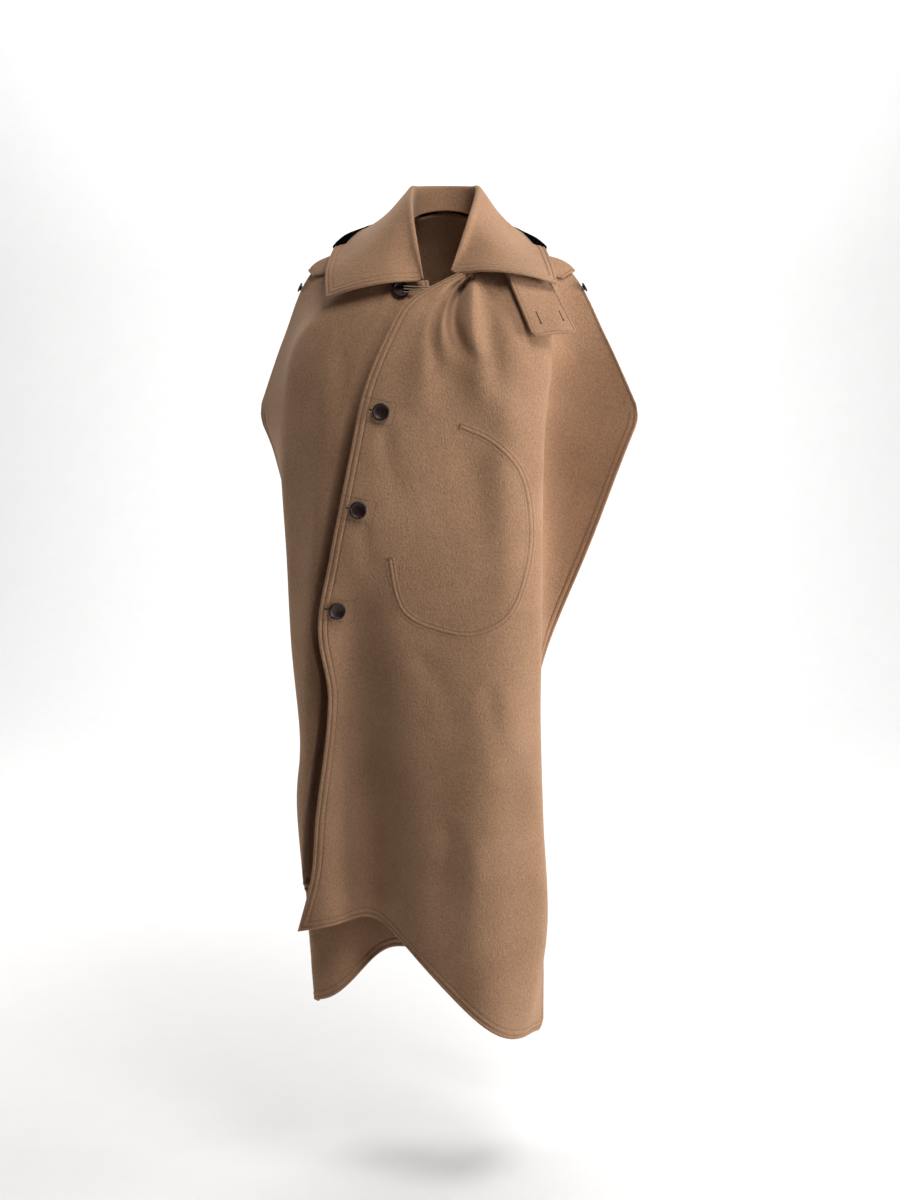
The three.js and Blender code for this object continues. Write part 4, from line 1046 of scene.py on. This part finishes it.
def button(name, diameter, shank, point, normal):
    """Dished horn button with a raised rim, turned about its axis, on a short shank."""
    rim = np.array(BUTTON_PROFILE) * (diameter / 2) + (0, shank)
    profile = np.concatenate([[(0.0, 0.0), (SHANK_RADIUS, 0.0), (SHANK_RADIUS, shank)], rim])
    s = np.arange(len(profile), dtype=float)
    fine = np.linspace(0, s[-1], BUTTON_RINGS)
    radius, height = (np.interp(fine, s, profile[:, k])[:, None, None] for k in (0, 1))
    turn = np.linspace(0, 2 * np.pi, BUTTON_SIDES + 1)[:-1, None]
    side = unit(np.cross(normal, BUTTON_LEAN))
    ring = side * np.cos(turn) + np.cross(normal, side) * np.sin(turn)
    points = point + normal * BUTTON_CLEAR + ring * np.maximum(radius, BUTTON_TIP) + normal * height
    make_object(name, points.reshape(-1, 3), tube_faces(1, *points.shape[:2]), HORN)


for label, bx, bz, on in BUTTONS:
    cloth, way = (left_surface, 1) if on == "left" else (right_surface, -1)
    spot = locate(cloth, np.array([bx]), np.array([bz]))
    button(label, FRONT_BUTTON, FRONT_SHANK, cloth(*spot)[0], normal_at(cloth, *spot, way)[0])
for label, sections in (("shoulder_button_left", LEFT_FRONT), ("shoulder_button_right", RIGHT_FRONT)):
    ends = side_line(sections, "side", np.array(SHOULDER_BUTTON_AT))
    lean = ends[1] - ends[0]
    button(label, SHOULDER_BUTTON, SHOULDER_SHANK, ends[0],
           unit(np.array((-lean[2] * np.sign(ends[0][0]), 0, abs(lean[0])))))


def stage():
    """Pale sweep of floor and backdrop, soft lights, and the photo's camera."""
    def place(name, data):
        thing = bpy.data.objects.new(name, data)
        bpy.context.collection.objects.link(thing)
        return thing

    m = Material("pale_sweep")
    pale = m.finish(base_color=m.mix(m.noise(60, 3, 0.5), *PALE_TONES), roughness=0.7)
    turn = np.linspace(0, np.pi / 2, SWEEP_STEPS)
    curve = np.stack([np.sin(turn), 1 - np.cos(turn)], -1) * SWEEP_RADIUS + (SWEEP_BACK, FLOOR)
    profile = np.concatenate([[(-SWEEP_HALF, FLOOR)], curve, [(SWEEP_BACK + SWEEP_RADIUS, SWEEP_TOP)]])
    points = [(x, y, z) for y, z in profile.tolist() for x in (-SWEEP_HALF, SWEEP_HALF)]
    mesh = bpy.data.meshes.new("sweep")
    mesh.from_pydata(points, [], quads(len(profile), 2, 0, True).tolist())
    mesh.materials.append(pale)
    mesh.polygons.foreach_set("use_smooth", np.ones(len(mesh.polygons), bool))
    place("sweep", mesh)

    for name, spot, aim, size, watts, colour in LIGHTS:
        lamp = bpy.data.lights.new(name, "AREA")
        lamp.shape, lamp.size, lamp.energy, lamp.color = "DISK", size, watts, colour
        thing = place(name, lamp)
        thing.location = spot
        thing.rotation_euler = (Vector(aim) - Vector(spot)).to_track_quat("-Z", "Y").to_euler()

    world = bpy.data.worlds.new("studio")
    world.use_nodes = True
    sky = world.node_tree.nodes["Background"].inputs
    sky["Color"].default_value, sky["Strength"].default_value = SKY_COLOUR, SKY_STRENGTH
    bpy.context.scene.world = world
    bpy.context.scene.view_settings.view_transform = "Standard"

    lens = bpy.data.cameras.new("camera")
    lens.sensor_width, lens.lens = CAMERA_SENSOR, CAMERA_LENS
    camera = place("camera", lens)
    camera.location = CAMERA_AT
    camera.rotation_euler = (math.radians(90 - CAMERA_DIP), 0, 0)
    bpy.context.scene.camera = camera


stage()
